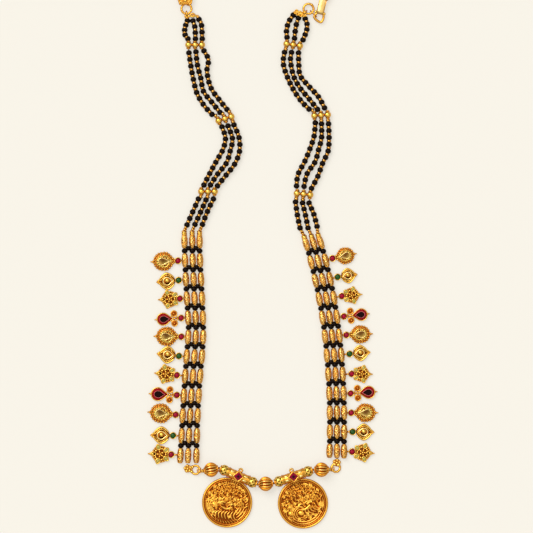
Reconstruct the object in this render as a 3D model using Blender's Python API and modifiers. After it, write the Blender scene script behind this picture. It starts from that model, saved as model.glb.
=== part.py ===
"""Mangalsutra, a whole bridal necklace lying flat on a surface, seen from above in its photograph.

Three strands of black beads on each side run down through gold spacers into three columns of
filigree barrels, which carry side dangles. A front wire through ribbed beads and tube bails
holds two relief coins. A plain chain closes the loop behind the neck.

Units are metres. +X is the wearer's left as the necklace lies, +Y points to the clasp, +Z is up
from the surface at Z = 0. Plan positions are measured from the page origin, a point inside the
loop, until the last step moves the whole necklace so that its box is centred on the origin.
"""

import math

import bmesh
import bpy
from mathutils import Matrix, Vector

# The route tables below are in millimetres.
MM = 0.001

# Clear space between pieces that touch on the real necklace
GAP = 0.0003

# Black strands: a string of small beads on a thread, with a tube for its outer form
BLACK_BEAD_RADIUS = 0.0014
THREAD_RADIUS = 0.00025
STRAND_END_RADIUS = 0.0009
STRAND_POINT_SPACING = 0.0082

# Spacers: three drilled balls in a row, one for each strand
SPACER_BALL_RADIUS = 0.0017
SPACER_PITCH = 0.0033
SPACER_WAIST = 0.65
SPACER_BORE_RADIUS = 0.0005
SPACER_SIDES = 6
SPACER_BORE_SIDES = 5
SPACER_BORE_TURN = 13
THREAD_LEAD = 0.0005

# Barrel columns: filigree barrels with one black bead between each pair
BARRELS_PER_COLUMN = 12
BARREL_RADIUS = 0.00155
BARREL_END_RADIUS = 0.00105
BARREL_SHOULDERS = (0.3, 0.7)
COLUMN_BEAD_RADIUS = 0.00148
COLUMN_BEAD_LENGTH = 0.0024

# Side dangles: a round stone in a bezel, a body and a granule at the tip
BEZEL_RADIUS = 0.0017
BEZEL_HEIGHT = 0.0015
STONE_HEIGHT = 0.0022
STONE_TABLE_SHARE = 0.45
STONE_SIDES = 8
LUG_WIDTH = 0.001
LUG_HEIGHT = 0.0009
TIP_RADIUS = 0.0006
TIP_SIDES = 4
DANGLE_BASE = 0.0002
PEAR_LENGTH = 0.0116
PEAR_WIDTH = 0.0098
PEAR_HEIGHT = 0.0024
LEAF_LENGTH = 0.0086
LEAF_WIDTH = 0.0084
LEAF_HEIGHT = 0.0024
STAR_LENGTH = 0.0096
STAR_NOTCH = 0.62
STAR_ROOT = 0.82
STAR_WIDTH = 0.0098
STAR_HEIGHT = 0.0022
DROP_LENGTH = 0.0077
DROP_WIDTH = 0.0064
DROP_HEIGHT = 0.0027
DROP_NECK = 0.0034
BUD_RADIUS = 0.0015
BUD_HEIGHT = 0.0016
BUD_SPREAD = 0.0025
NECK_WIDTH = 0.0011
TIP_LENGTH = 0.0014

# Front wire and what is strung on it
FRONT_WIRE_RADIUS = 0.0003
EYE_RADIUS = 0.00115
EYE_POINTS = 8
EYE_START = 60
EYE_SWEEP = 256
STRING_GAP = 0.0009
FRONT_BORE_RADIUS = 0.00085
RIBBED_BEAD_RADIUS = 0.0037
RIBBED_BEAD_LENGTH = 0.0073
RIBBED_BEAD_SIDES = 16
RIB_DEPTH = 0.1

# Coin pendants: a relief coin soldered under a tube bail
COIN_RADIUS = 0.0126
COIN_THICKNESS = 0.0016
COIN_RIM_WIDTH = 0.0009
COIN_RIM_HEIGHT = 0.0004
COIN_SIDES = 28
RELIEF_HEIGHT = 0.0006
RELIEF_SINK = 0.0002
RELIEF_SIDES = 6
TUBE_RADIUS = 0.00235
TUBE_SPAN = 0.0153
TUBE_BALL_RADIUS = 0.0029
TUBE_BALL_LENGTH = 0.0046
TUBE_COLLAR_RADIUS = 0.002
TUBE_SIDES = 10
TUBE_CLEARANCE = 0.00015
SOLDER_OVERLAP = 0.0006
SADDLE_LENGTH = 0.0056
SADDLE_WIDTH = 0.0016
RUBY_SETTING_WIDTH = 0.0046
RUBY_WIDTH = 0.0036
RUBY_SETTING_RISE = 0.0007
RUBY_RISE = 0.0011
BACK_GRANULE_RADIUS = 0.001

# Corner rings with a soldered flower of granules
CORNER_RING_RADIUS = 0.0021
CORNER_WIRE_RADIUS = 0.00047
FLOWER_RADIUS = 0.0019
FLOWER_HEIGHT = 0.002
FLOWER_SIDES = 8

# Top fittings
TOP_RING_RADIUS = 0.0025
TOP_WIRE_RADIUS = 0.0005
TOP_RING_HEIGHT = 0.0016
FORK_WIRE_RADIUS = 0.0004
FORK_EYE_RADIUS = 0.0012
FORK_BAR_RADIUS = 0.0005
LINK_WIRE_RADIUS = 0.00035
LINK_REACH = 0.001
RING_SEGMENTS = 10
CAP_LENGTH = 0.0095
CAP_BASE_WIDTH = 0.0072
CAP_TOP_WIDTH = 0.0034
CAP_HEIGHT = 0.0032
CLASP_BAR_WIDTH = 0.0036
CLASP_BAR_THICKNESS = 0.002
CLASP_BOX_LENGTH = 0.0085
CLASP_BOX_WIDTH = 0.0052
CLASP_BOX_THICKNESS = 0.003

# Back chain, hidden past the photograph's top edge
CHAIN_RADIUS = 0.0011
CHAIN_RISE = 0.028
CHAIN_POINTS = 15
CHAIN_EYE_RADIUS = 0.0012
CHAIN_EYE_WIRE_RADIUS = 0.0004
CHAIN_RING_RADIUS = 0.0015

# Chosen points of each string's route, in millimetres from the page origin.
# A strand has four stretches, parted by its three spacers, from the top ring down.
STRAND_ROUTES = {
    "left": (
        (
            ((-36.25, 122.6), (-37.5, 119), (-37.5, 115.75), (-36, 113.5)),
            ((-35.5, 106.5), (-34.5, 99.75), (-33.25, 93), (-31.5, 86.25), (-28, 80.25), (-24, 75.75)),
            ((-19, 69.5), (-17.25, 64), (-18.5, 58.25), (-22, 52), (-25.5, 45.5), (-28, 40.5)),
            ((-30.75, 33.5), (-33.75, 26.75), (-36.5, 20.5)),
        ),
        (
            ((-33.5, 122.5), (-32.5, 119), (-32.25, 113.5)),
            ((-32, 107), (-31.25, 100.25), (-29.5, 93.5), (-28.25, 87.25), (-24, 81.75), (-20, 76.75)),
            ((-16, 70), (-13.75, 63.5), (-15, 57), (-16.75, 51.5), (-21.5, 45.5), (-24.75, 40.5)),
            ((-27, 33), (-29.75, 26.75), (-32.5, 20.75)),
        ),
        (
            ((-30.5, 123.2), (-29.25, 120.5), (-28.85, 113.5)),
            ((-28, 107.5), (-25.75, 103), (-26.5, 97), (-24.5, 89), (-20.5, 83.25), (-16.5, 78.25)),
            ((-13, 70.5), (-10.5, 64.25), (-10.25, 57.25), (-12.75, 50.75), (-17.25, 45), (-21.25, 40)),
            ((-23.25, 33.5), (-26.25, 27.25), (-28.75, 20.75)),
        ),
    ),
    "right": (
        (
            ((16.6, 125.3), (14.25, 121.75), (13.25, 117.5), (13.5, 114.25)),
            ((12.25, 106.75), (11.6, 101.5), (13.25, 95.5), (16.5, 88.5), (20.5, 82.5), (24.5, 78.4)),
            ((27.65, 71.5), (27, 64.75), (24.75, 58), (22.25, 52), (19, 45.75), (18.25, 40)),
            ((17.75, 32), (18.75, 25), (20, 19)),
        ),
        (
            ((19.2, 123.9), (18, 120), (17.5, 116.5), (17.25, 113.75)),
            ((15.75, 106.75), (15.25, 102.5), (16.75, 95), (20, 89), (24.75, 83.25), (28.75, 78.25)),
            ((30.75, 71), (30.75, 64), (29.25, 58), (27.5, 52), (23.5, 46), (22, 39.75)),
            ((21.25, 31.5), (22.75, 25.25), (24, 19)),
        ),
        (
            ((22.6, 123.5), (23.5, 121), (23.25, 117.5), (21.5, 113)),
            ((19.25, 106.5), (19.35, 101), (20.15, 95), (24.5, 89.75), (29.25, 84.5), (32.25, 79)),
            ((34.25, 71), (34.5, 64), (34, 57.25), (31.25, 51.25), (29, 45), (25.75, 38.75)),
            ((24.5, 31.5), (27, 25.5), (28.5, 19.75)),
        ),
    ),
}

# Middle ball of each spacer in millimetres, and the turn of its row of balls in degrees
SPACER_PLACES = {
    "left": (((-32.4, 110.5), 0), ((-17.5, 73.6), 18), ((-26, 37.2), 0)),
    "right": (((16.6, 110.5), -8), ((30.5, 75.35), 4), ((21.75, 35.9), -6)),
}

# Barrel columns from the band's top to its lower end, in millimetres
COLUMN_ROUTES = {
    "left": (
        ((-37.85, 17), (-37.55, 5.5), (-36.8, -11.5), (-35.65, -31), (-36.3, -41), (-37.7, -59.5),
         (-38.9, -79.5), (-40, -98.6)),
        ((-33.9, 17), (-33.7, 5.5), (-32.95, -11.5), (-31.95, -31), (-32.45, -41), (-33.9, -59.5),
         (-35.2, -79.5), (-36.1, -98.6)),
        ((-30.2, 17), (-30.1, 5.5), (-29.2, -11.5), (-28.35, -31), (-28.7, -41), (-30.3, -59.5),
         (-31.4, -79.5), (-31.85, -98.6)),
    ),
    "right": (
        ((22, 14.75), (24.5, 6.15), (28.75, -11.9), (31.95, -30.45), (33.85, -49.15), (34.85, -68.1),
         (34.9, -87.1), (34.65, -95.9)),
        ((25.6, 15.25), (28, 6.75), (32.4, -11.6), (35.5, -30.35), (37.45, -49.05), (38.4, -68.25),
         (38.45, -87.2), (38.4, -96)),
        ((28.95, 15.75), (31.5, 7.75), (36, -11), (39.05, -30.15), (41, -49.05), (41.95, -68.35),
         (42, -87.5), (41.95, -96.2)),
    ),
}

# Side dangles down the outer column. "y" is the stone's height on the page in millimetres, "lug" the
# clear distance from barrel to bezel in millimetres, "rise" the degrees by which the tip points above
# straight outward, and "size" the body's share of its kind's full size.
DANGLES = {
    "left": (
        {"kind": "pear", "y": 2.65, "lug": 0.3, "rise": -2.5, "size": 0.97},
        {"kind": "leaf", "y": -7, "lug": 0.4, "rise": -5, "size": 1},
        {"kind": "star", "y": -16.4, "lug": 0.3, "rise": -3, "size": 0.96},
        {"kind": "drop", "y": -26.05, "lug": 0.3, "rise": -4, "size": 0.97},
        {"kind": "pear", "y": -35.4, "lug": 0.3, "rise": 1, "size": 0.98},
        {"kind": "leaf", "y": -45, "lug": 0.65, "rise": 6, "size": 1},
        {"kind": "star", "y": -54.7, "lug": 0.95, "rise": 5.5, "size": 1},
        {"kind": "drop", "y": -64.55, "lug": 0.3, "rise": 3, "size": 1.03},
        {"kind": "pear", "y": -74.2, "lug": 0.3, "rise": 5.5, "size": 1},
        {"kind": "leaf", "y": -84.7, "lug": 1, "rise": 1, "size": 1.02},
        {"kind": "star", "y": -94.35, "lug": 1.4, "rise": 2, "size": 1.02},
    ),
    "right": (
        {"kind": "pear", "y": 3.7, "lug": 0.3, "rise": 11.5, "size": 0.86},
        {"kind": "leaf", "y": -5.35, "lug": 0.65, "rise": 7.5, "size": 0.88},
        {"kind": "star", "y": -15.05, "lug": 0.85, "rise": 5, "size": 0.9},
        {"kind": "drop", "y": -25.2, "lug": 0.3, "rise": 6, "size": 0.94},
        {"kind": "pear", "y": -34.6, "lug": 0.3, "rise": 2.5, "size": 0.93},
        {"kind": "leaf", "y": -44.05, "lug": 0.95, "rise": 4.5, "size": 0.93},
        {"kind": "star", "y": -53.75, "lug": 1.25, "rise": -1, "size": 0.92},
        {"kind": "drop", "y": -63.65, "lug": 0.3, "rise": 4, "size": 0.97},
        {"kind": "pear", "y": -73.4, "lug": 0.3, "rise": 0, "size": 0.95},
        {"kind": "leaf", "y": -82.75, "lug": 1, "rise": -1, "size": 0.97},
        {"kind": "star", "y": -92.8, "lug": 0.85, "rise": -4.5, "size": 0.98},
    ),
}

# Front row: the middle bead's place in millimetres, each piece's turn in degrees, and the distance
# in millimetres from an end bead's face to the middle of the wire's eye
CENTRE_BEAD = (2.85, -108.75)
CENTRE_BEAD_TURN = 4
TUBE_TURN = {"left": -23, "right": 19}
END_BEAD_TURN = {"left": 11, "right": 0}
EYE_TURN = {"left": -7, "right": 14}
EYE_STANDOFF = {"left": 2.2, "right": 1.6}

# Each corner flower: its bearing from the ring's middle in degrees, and how far it stands out from
# the ring's wire as a share of the flower's radius
FLOWERS = {
    "left": {"bearing": 171, "standoff": 0.95},
    "right": {"bearing": 80, "standoff": 0.25},
}

# Top fittings in millimetres: each top ring's middle, the fork's bar with a hanging place for each
# strand, and the bearing in degrees at which the fork's eye holds the ring
TOP_RINGS = {"left": (-36.75, 128.5), "right": (24.25, 128.5)}
FORK_HANGERS = {
    "left": ((-36.4, 124.5), (-33.6, 125.1), (-31, 124.9)),
    "right": ((17.3, 127.1), (19.6, 126.1), (22.4, 125.5)),
}
FORK_BEARING = {"left": -90, "right": -135}
CLASP_BEARING = -45

# The clasp bar's lower and upper ends and its pointed loop, in millimetres
CLASP_FOOT = (29.9, 126.1)
CLASP_HEAD = (32.3, 136)
CLASP_LOOP = (
    (28.6, 126.6), (27.55, 125.5), (27.1, 124.2), (27.9, 123), (29.9, 122.2), (31.3, 123.2),
    (31.8, 124.6), (31.3, 126.6),
)
CAP_FOOT = (-37.2, 130.6)
CAP_TURN = 3

# Cast relief of a coin, as shares of the field's radius: a seated figure with attendants and lotus petals
RELIEF = (
    {"x": 0, "y": -0.3, "half_width": 0.36, "half_height": 0.13, "turn": 0, "rise": 0.8},
    {"x": 0, "y": 0, "half_width": 0.15, "half_height": 0.2, "turn": 0, "rise": 1},
    {"x": 0, "y": 0.33, "half_width": 0.11, "half_height": 0.15, "turn": 0, "rise": 0.9},
    {"x": -0.56, "y": 0, "half_width": 0.1, "half_height": 0.26, "turn": 0},
    {"x": 0.56, "y": 0, "half_width": 0.1, "half_height": 0.26, "turn": 0},
)
PETALS = 3
PETAL_RADIUS = 0.72
PETAL_SPREAD = 80
PETAL_HALF_LENGTH = 0.16
PETAL_HALF_WIDTH = 0.09

COLOURS = {
    "gold": ((0.83, 0.53, 0.12), 0.28, 1.0),
    "bright_gold": ((0.95, 0.72, 0.25), 0.2, 1.0),
    "black_glass": ((0.01, 0.01, 0.012), 0.12, 0.0),
    "ruby": ((0.35, 0.01, 0.04), 0.08, 0.0),
    "emerald": ((0.02, 0.16, 0.05), 0.08, 0.0),
    "pale_stone": ((0.7, 0.66, 0.3), 0.15, 0.0),
}


def clear_scene():
    for old in list(bpy.data.objects):
        bpy.data.objects.remove(old, do_unlink=True)


def collection(name, hidden=False):
    made = bpy.data.collections.new(name)
    bpy.context.scene.collection.children.link(made)
    made.hide_render = hidden
    return made


def material(name):
    colour, roughness, metallic = COLOURS[name]
    made = bpy.data.materials.new(name)
    made.use_nodes = True
    shader = made.node_tree.nodes["Principled BSDF"]
    shader.inputs["Base Color"].default_value = (*colour, 1.0)
    shader.inputs["Roughness"].default_value = roughness
    shader.inputs["Metallic"].default_value = metallic
    made.diffuse_color = (*colour, 1.0)
    return made


# Geometry of plan positions


def plan(point_mm, height=0.0):
    """A plan point in millimetres as a vector in metres at the given height."""
    return Vector((point_mm[0] * MM, point_mm[1] * MM, height))


def heading(degrees):
    """The unit vector that points this many degrees anticlockwise from +X."""
    angle = math.radians(degrees)
    return Vector((math.cos(angle), math.sin(angle), 0))


def smooth(points, per_stretch=60):
    """A dense polyline on one smooth curve through the points."""
    ends = [points[0] * 2 - points[1], *points, points[-1] * 2 - points[-2]]
    dense = []
    for before, start, end, after in zip(ends, ends[1:], ends[2:], ends[3:]):
        for i in range(per_stretch):
            t = i / per_stretch
            dense.append(
                (
                    start * 2
                    + (end - before) * t
                    + (before * 2 - start * 5 + end * 4 - after) * t**2
                    + (start * 3 - before - end * 3 + after) * t**3
                )
                / 2
            )
    return dense + [points[-1]]


def travelled(polyline):
    """The distance along the polyline at each of its points."""
    distances = [0.0]
    for start, end in zip(polyline, polyline[1:]):
        distances.append(distances[-1] + (end - start).length)
    return distances


def point_at(polyline, distances, distance):
    """The point of the polyline this far along it."""
    for i in range(1, len(polyline)):
        if distance <= distances[i] or i == len(polyline) - 1:
            share = (distance - distances[i - 1]) / (distances[i] - distances[i - 1])
            return polyline[i - 1].lerp(polyline[i], min(share, 1.0))


def evenly(points, spacing):
    """Points about this far apart on the smooth curve through the points, with both its ends."""
    polyline = smooth(points)
    distances = travelled(polyline)
    steps = max(2, round(distances[-1] / spacing))
    return [point_at(polyline, distances, distances[-1] * i / steps) for i in range(steps + 1)]


# Shapes


def add(obj, where, finish):
    where.objects.link(obj)
    obj.data.materials.append(MATERIALS[finish])
    return obj


def tube(name, path, radii, finish, where, side_steps=2, closed=False):
    """A round wire or string along the path, with a radius at each point."""
    data = bpy.data.curves.new(name, "CURVE")
    data.dimensions = "3D"
    data.resolution_u = 1
    data.bevel_depth = 1.0
    data.bevel_resolution = side_steps
    data.use_fill_caps = not closed
    data.twist_mode = "MINIMUM"
    spline = data.splines.new("POLY")
    spline.points.add(len(path) - 1)
    spline.use_cyclic_u = closed
    for spot, place, radius in zip(spline.points, path, radii):
        spot.co = (*place, 1.0)
        spot.radius = radius
    return add(bpy.data.objects.new(name, data), where, finish)


def loop(name, middle, across, along, radius_across, radius_along, wire, finish, where):
    """A closed wire loop in the plane of two unit vectors, as a circle or an oval."""
    path = []
    for i in range(RING_SEGMENTS):
        angle = 2 * math.pi * i / RING_SEGMENTS
        path.append(
            middle
            + across * radius_across * math.cos(angle)
            + along * radius_along * math.sin(angle)
        )
    return tube(name, path, [wire] * len(path), finish, where, side_steps=1, closed=True)


def loft(name, sections, finish, where, bored=False):
    """A closed body through rings of equal count, capped at both ends or joined end to end."""
    mesh = bpy.data.meshes.new(name)
    shape = bmesh.new()
    rings = [[shape.verts.new(place) for place in section] for section in sections]
    pairs = list(zip(rings, rings[1:])) + ([(rings[-1], rings[0])] if bored else [])
    for lower, upper in pairs:
        for i in range(len(lower)):
            j = (i + 1) % len(lower)
            shape.faces.new((lower[i], lower[j], upper[j], upper[i]))
    if not bored:
        shape.faces.new(list(reversed(rings[0])))
        shape.faces.new(rings[-1])
    bmesh.ops.recalc_face_normals(shape, faces=shape.faces)
    shape.to_mesh(mesh)
    shape.free()
    return add(bpy.data.objects.new(name, mesh), where, finish)


def turned(name, profile, sides, finish, where):
    """A body turned about its own Z: the profile is (radius, z) pairs down its outer side."""
    mesh = bpy.data.meshes.new(name)
    closed = profile[0][0] > 0
    edges = [(i, i + 1) for i in range(len(profile) - 1)]
    if closed:
        edges.append((len(profile) - 1, 0))
    mesh.from_pydata([(radius, 0, z) for radius, z in profile], edges, [])
    obj = add(bpy.data.objects.new(name, mesh), where, finish)
    screw = obj.modifiers.new("turn", "SCREW")
    screw.steps = sides
    screw.render_steps = sides
    screw.use_merge_vertices = True
    screw.merge_threshold = 1e-6
    return obj


def lie_along(obj, place, direction):
    """Turns the object's Z to the direction and sets it at the place."""
    turn = direction.to_track_quat("Z", "Y").to_matrix().to_4x4()
    obj.matrix_world = Matrix.Translation(place) @ turn


def as_mesh(obj, where):
    """The object as one evaluated mesh with its caps welded, which Booleans can take."""
    bpy.context.view_layer.update()
    evaluated = obj.evaluated_get(bpy.context.evaluated_depsgraph_get())
    mesh = bpy.data.meshes.new_from_object(evaluated)
    mesh.transform(obj.matrix_world)
    shape = bmesh.new()
    shape.from_mesh(mesh)
    bmesh.ops.remove_doubles(shape, verts=shape.verts, dist=1e-7)
    bmesh.ops.recalc_face_normals(shape, faces=shape.faces)
    shape.to_mesh(mesh)
    shape.free()
    made = bpy.data.objects.new(obj.name, mesh)
    where.objects.link(made)
    bpy.data.objects.remove(obj, do_unlink=True)
    return made


def combined(name, base, others, operation="UNION"):
    """The base joined with the others, or cut by them, as one closed mesh in the necklace."""
    base = as_mesh(base, NECKLACE)
    helpers = [as_mesh(other, CUTTERS) for other in others]
    for helper in helpers:
        boolean = base.modifiers.new(helper.name, "BOOLEAN")
        boolean.operation = operation
        boolean.object = helper
        boolean.material_mode = "TRANSFER"
    made = as_mesh(base, NECKLACE)
    for helper in helpers:
        bpy.data.objects.remove(helper, do_unlink=True)
    made.name = name
    made.data.name = name
    return made


# Black strands and spacers


def spacer_ball(side, row, number):
    """The middle of one strand's ball, and the direction of its bore towards the clasp."""
    place, turn = SPACER_PLACES[side][row]
    middle = plan(place, SPACER_BALL_RADIUS)
    return middle + heading(turn) * SPACER_PITCH * (number - 1), heading(turn + 90)


def hanger(side, number):
    return plan(FORK_HANGERS[side][number], TOP_RING_HEIGHT)


def column_polyline(side, number):
    return smooth([plan(spot, BARREL_RADIUS) for spot in COLUMN_ROUTES[side][number]])


def strand(side, number):
    """One string of black beads: full where beads lie, thin where its thread passes a spacer."""
    lead = SPACER_BALL_RADIUS + THREAD_LEAD
    start = hanger(side, number)
    start.y -= FORK_BAR_RADIUS + GAP + THREAD_RADIUS
    path, radii = [start], [THREAD_RADIUS]
    stretches = STRAND_ROUTES[side][number]
    for row, stretch in enumerate(stretches):
        spots = evenly([plan(spot, BLACK_BEAD_RADIUS) for spot in stretch], STRAND_POINT_SPACING)
        path += spots
        radii += [BLACK_BEAD_RADIUS] * len(spots)
        if row < len(stretches) - 1:
            ball, bore = spacer_ball(side, row, number)
            path += [ball + bore * lead, ball - bore * lead]
            radii += [THREAD_RADIUS] * 2
    top, below = column_polyline(side, number)[:2]
    path.append(top + (top - below).normalized() * GAP)
    radii.append(STRAND_END_RADIUS)
    return tube(f"strand_{side}_{number + 1}", path, radii, "black_glass", NECKLACE, side_steps=1)


def spacer(side, row):
    """Three balls in a row, turned as one body, with a bore through each for its strand."""
    end = SPACER_PITCH + SPACER_BALL_RADIUS
    waist = SPACER_BALL_RADIUS * SPACER_WAIST
    profile = (
        (0, end),
        (SPACER_BALL_RADIUS, SPACER_PITCH),
        (waist, SPACER_PITCH / 2),
        (SPACER_BALL_RADIUS, 0),
        (waist, -SPACER_PITCH / 2),
        (SPACER_BALL_RADIUS, -SPACER_PITCH),
        (0, -end),
    )
    name = f"spacer_{side}_{row + 1}"
    place, turn = SPACER_PLACES[side][row]
    body = turned(name, profile, SPACER_SIDES, "bright_gold", CUTTERS)
    lie_along(body, plan(place, SPACER_BALL_RADIUS), heading(turn))
    bores = []
    for number in range(3):
        ball, bore = spacer_ball(side, row, number)
        reach = bore * SPACER_BALL_RADIUS * 1.5
        cut = rod(f"bore_{number}", ball - reach, ball + reach, SPACER_BORE_RADIUS, SPACER_BORE_SIDES)
        cut.matrix_world @= Matrix.Rotation(math.radians(SPACER_BORE_TURN), 4, "Z")
        bores.append(cut)
    return combined(name, body, bores, "DIFFERENCE")


def rod(name, start, end, radius, sides, finish="gold", end_radius=None):
    """A straight rod or cone between two points."""
    mesh = bpy.data.meshes.new(name)
    shape = bmesh.new()
    length = (end - start).length
    tip = radius if end_radius is None else end_radius
    bmesh.ops.create_cone(
        shape, cap_ends=True, segments=sides, radius1=radius, radius2=tip, depth=length
    )
    shape.to_mesh(mesh)
    shape.free()
    obj = add(bpy.data.objects.new(name, mesh), CUTTERS, finish)
    lie_along(obj, (start + end) / 2, end - start)
    return obj


# Barrel columns


def column(side, number):
    """Barrels and black beads on one thread, from the band's top to its lower end."""
    polyline = column_polyline(side, number)
    distances = travelled(polyline)
    pitch = (distances[-1] + COLUMN_BEAD_LENGTH) / BARRELS_PER_COLUMN
    barrel = pitch - COLUMN_BEAD_LENGTH
    stations = []
    for i in range(BARRELS_PER_COLUMN):
        start = i * pitch
        stations.append((start, BARREL_END_RADIUS))
        stations += [(start + barrel * share, BARREL_RADIUS) for share in BARREL_SHOULDERS]
        stations.append((start + barrel, BARREL_END_RADIUS))
        if i < BARRELS_PER_COLUMN - 1:
            stations.append((start + barrel + COLUMN_BEAD_LENGTH / 2, COLUMN_BEAD_RADIUS))
    path = [point_at(polyline, distances, along) for along, _ in stations]
    radii = [radius for _, radius in stations]
    return tube(f"column_{side}_{number + 1}", path, radii, "gold", NECKLACE)


# Side dangles. Each is drawn with its stone at the origin and its tip towards +X.


def pear_outline(length, width, start, points=10):
    """A pear in plan, pointed at the start and round at its far end."""
    radius = width / 2
    middle = start + length - radius
    lean = math.asin(radius / (middle - start))
    outline = [Vector((start, 0, 0))]
    for i in range(points - 1):
        angle = -math.pi / 2 - lean + (math.pi + 2 * lean) * i / (points - 2)
        outline.append(Vector((middle + radius * math.cos(angle), radius * math.sin(angle), 0)))
    return outline


def star_outline(length, width, start):
    """Five lobes round a middle, one of them pointing to the tip, and a root that reaches the bezel."""
    middle = start + length / 2
    outline = []
    for i in range(10):
        angle = math.pi * i / 5
        share = 1.0 if i % 2 == 0 else STAR_ROOT if i == 5 else STAR_NOTCH
        outline.append(
            Vector((middle + share * length / 2 * math.cos(angle), share * width / 2 * math.sin(angle), 0))
        )
    return outline


def stacked(name, outline, levels, finish):
    """A low body of one plan outline, shrunk towards its middle at each (height, share) level."""
    middle = sum(outline, Vector()) / len(outline)
    sections = []
    for height, share in levels:
        sections.append([middle + (spot - middle) * share + Vector((0, 0, height)) for spot in outline])
    return loft(name, sections, finish, CUTTERS)


def bezel_with_stone(finish):
    """A round bezel and its cut stone: crown facets up to a flat table."""
    def ring(radius, height):
        return [
            heading(360 * (i + 0.5) / STONE_SIDES) * radius + Vector((0, 0, height))
            for i in range(STONE_SIDES)
        ]
    sections = (
        ring(BEZEL_RADIUS, 0),
        ring(BEZEL_RADIUS, BEZEL_HEIGHT),
        ring(BEZEL_RADIUS * STONE_TABLE_SHARE, STONE_HEIGHT),
    )
    return loft("bezel", sections, finish, CUTTERS)


def body_pieces(kind, size):
    """The pieces of a dangle's body, and where its tip granule starts."""
    start = BEZEL_RADIUS * 0.75
    if kind == "pear":
        outline = pear_outline(PEAR_LENGTH * size, PEAR_WIDTH * size, start)
        levels = ((DANGLE_BASE, 0.94), (PEAR_HEIGHT * 0.5, 1), (PEAR_HEIGHT, 0.5))
        return [stacked("body", outline, levels, "gold")], start + PEAR_LENGTH * size
    if kind == "leaf":
        outline = pear_outline(LEAF_LENGTH * size, LEAF_WIDTH * size, start)
        levels = ((DANGLE_BASE, 0.9), (LEAF_HEIGHT * 0.55, 1), (LEAF_HEIGHT, 0.5))
        return [stacked("body", outline, levels, "gold")], start + LEAF_LENGTH * size
    if kind == "star":
        start = BEZEL_RADIUS * 0.3
        outline = star_outline(STAR_LENGTH * size, STAR_WIDTH * size, start)
        levels = ((DANGLE_BASE, 0.9), (STAR_HEIGHT * 0.5, 1), (STAR_HEIGHT, 0.45))
        return [stacked("body", outline, levels, "gold")], start + STAR_LENGTH * size
    start += DROP_NECK * size
    outline = pear_outline(DROP_LENGTH * size, DROP_WIDTH * size, start)
    levels = ((DANGLE_BASE, 0.95), (DROP_HEIGHT * 0.45, 1), (DROP_HEIGHT, 0.45))
    pieces = [stacked("body", outline, levels, "ruby")]
    bud_x = (BEZEL_RADIUS + start) / 2 + BUD_RADIUS * 0.3
    buds = []
    for way in (-1, 1):
        middle = Vector((bud_x, way * BUD_SPREAD * size, 0))
        buds += [middle + heading(way * 90 + spread) * BUD_RADIUS for spread in (-100, -35, 35, 100)]
    levels = ((DANGLE_BASE * 1.5, 1), (BUD_HEIGHT, 0.85))
    pieces.append(stacked("buds", buds, levels, "gold"))
    near, far = BEZEL_RADIUS * 0.5, start + DROP_LENGTH * size * 0.3
    neck = [Vector((x, y * NECK_WIDTH / 2, 0)) for x, y in ((near, -1), (far, -1), (far, 1), (near, 1))]
    pieces.append(stacked("neck", neck, ((DANGLE_BASE * 2, 1), (BUD_HEIGHT * 0.75, 1)), "gold"))
    return pieces, start + DROP_LENGTH * size


def dangle(side, number, row):
    """One dangle beside the outer column, its lug reaching towards the barrel next to it."""
    outward = -1 if side == "left" else 1
    lug = row["lug"] * MM
    beside = []
    column_line = column_polyline(side, 0 if side == "left" else 2)
    for upper, lower in zip(column_line, column_line[1:]):
        along = (lower - upper).normalized()
        away = Vector((-along.y, along.x, 0)) * outward
        beside.append((upper + away * (BARREL_RADIUS + lug + BEZEL_RADIUS), away))
    place, away = min(beside, key=lambda spot: abs(spot[0].y - row["y"] * MM))
    place = Vector((place.x, place.y, 0))
    pieces, tip_start = body_pieces(row["kind"], row["size"])
    tip_height = Vector((0, 0, TIP_RADIUS + DANGLE_BASE))
    pieces.append(
        rod("tip", Vector((tip_start - TIP_LENGTH, 0, 0)) + tip_height,
            Vector((tip_start + TIP_LENGTH * row["size"], 0, 0)) + tip_height, TIP_RADIUS, TIP_SIDES,
            "gold", TIP_RADIUS * 0.5)
    )
    turn = math.radians(row["rise"]) * outward
    rest = math.pi if side == "left" else 0
    stone = "emerald" if row["kind"] == "leaf" else "ruby"
    bezel = bezel_with_stone(stone)
    frame = Matrix.Translation(place) @ Matrix.Rotation(rest + turn, 4, "Z")
    for piece in (*pieces, bezel):
        piece.matrix_world = frame @ piece.matrix_world
    if lug > GAP:
        base = Vector((0, 0, LUG_HEIGHT / 2 + BARREL_RADIUS / 2))
        inner = place + base - away * (BEZEL_RADIUS + lug - GAP)
        pieces.append(rod("lug", inner, place + base, LUG_WIDTH / 2, 4))
    return combined(f"{row['kind']}_dangle_{side}_{number + 1}", bezel, pieces)


# Front row


def tube_half():
    return (TUBE_SPAN + TUBE_BALL_LENGTH) / 2


def tube_height():
    return TUBE_BALL_RADIUS + TUBE_CLEARANCE


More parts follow.
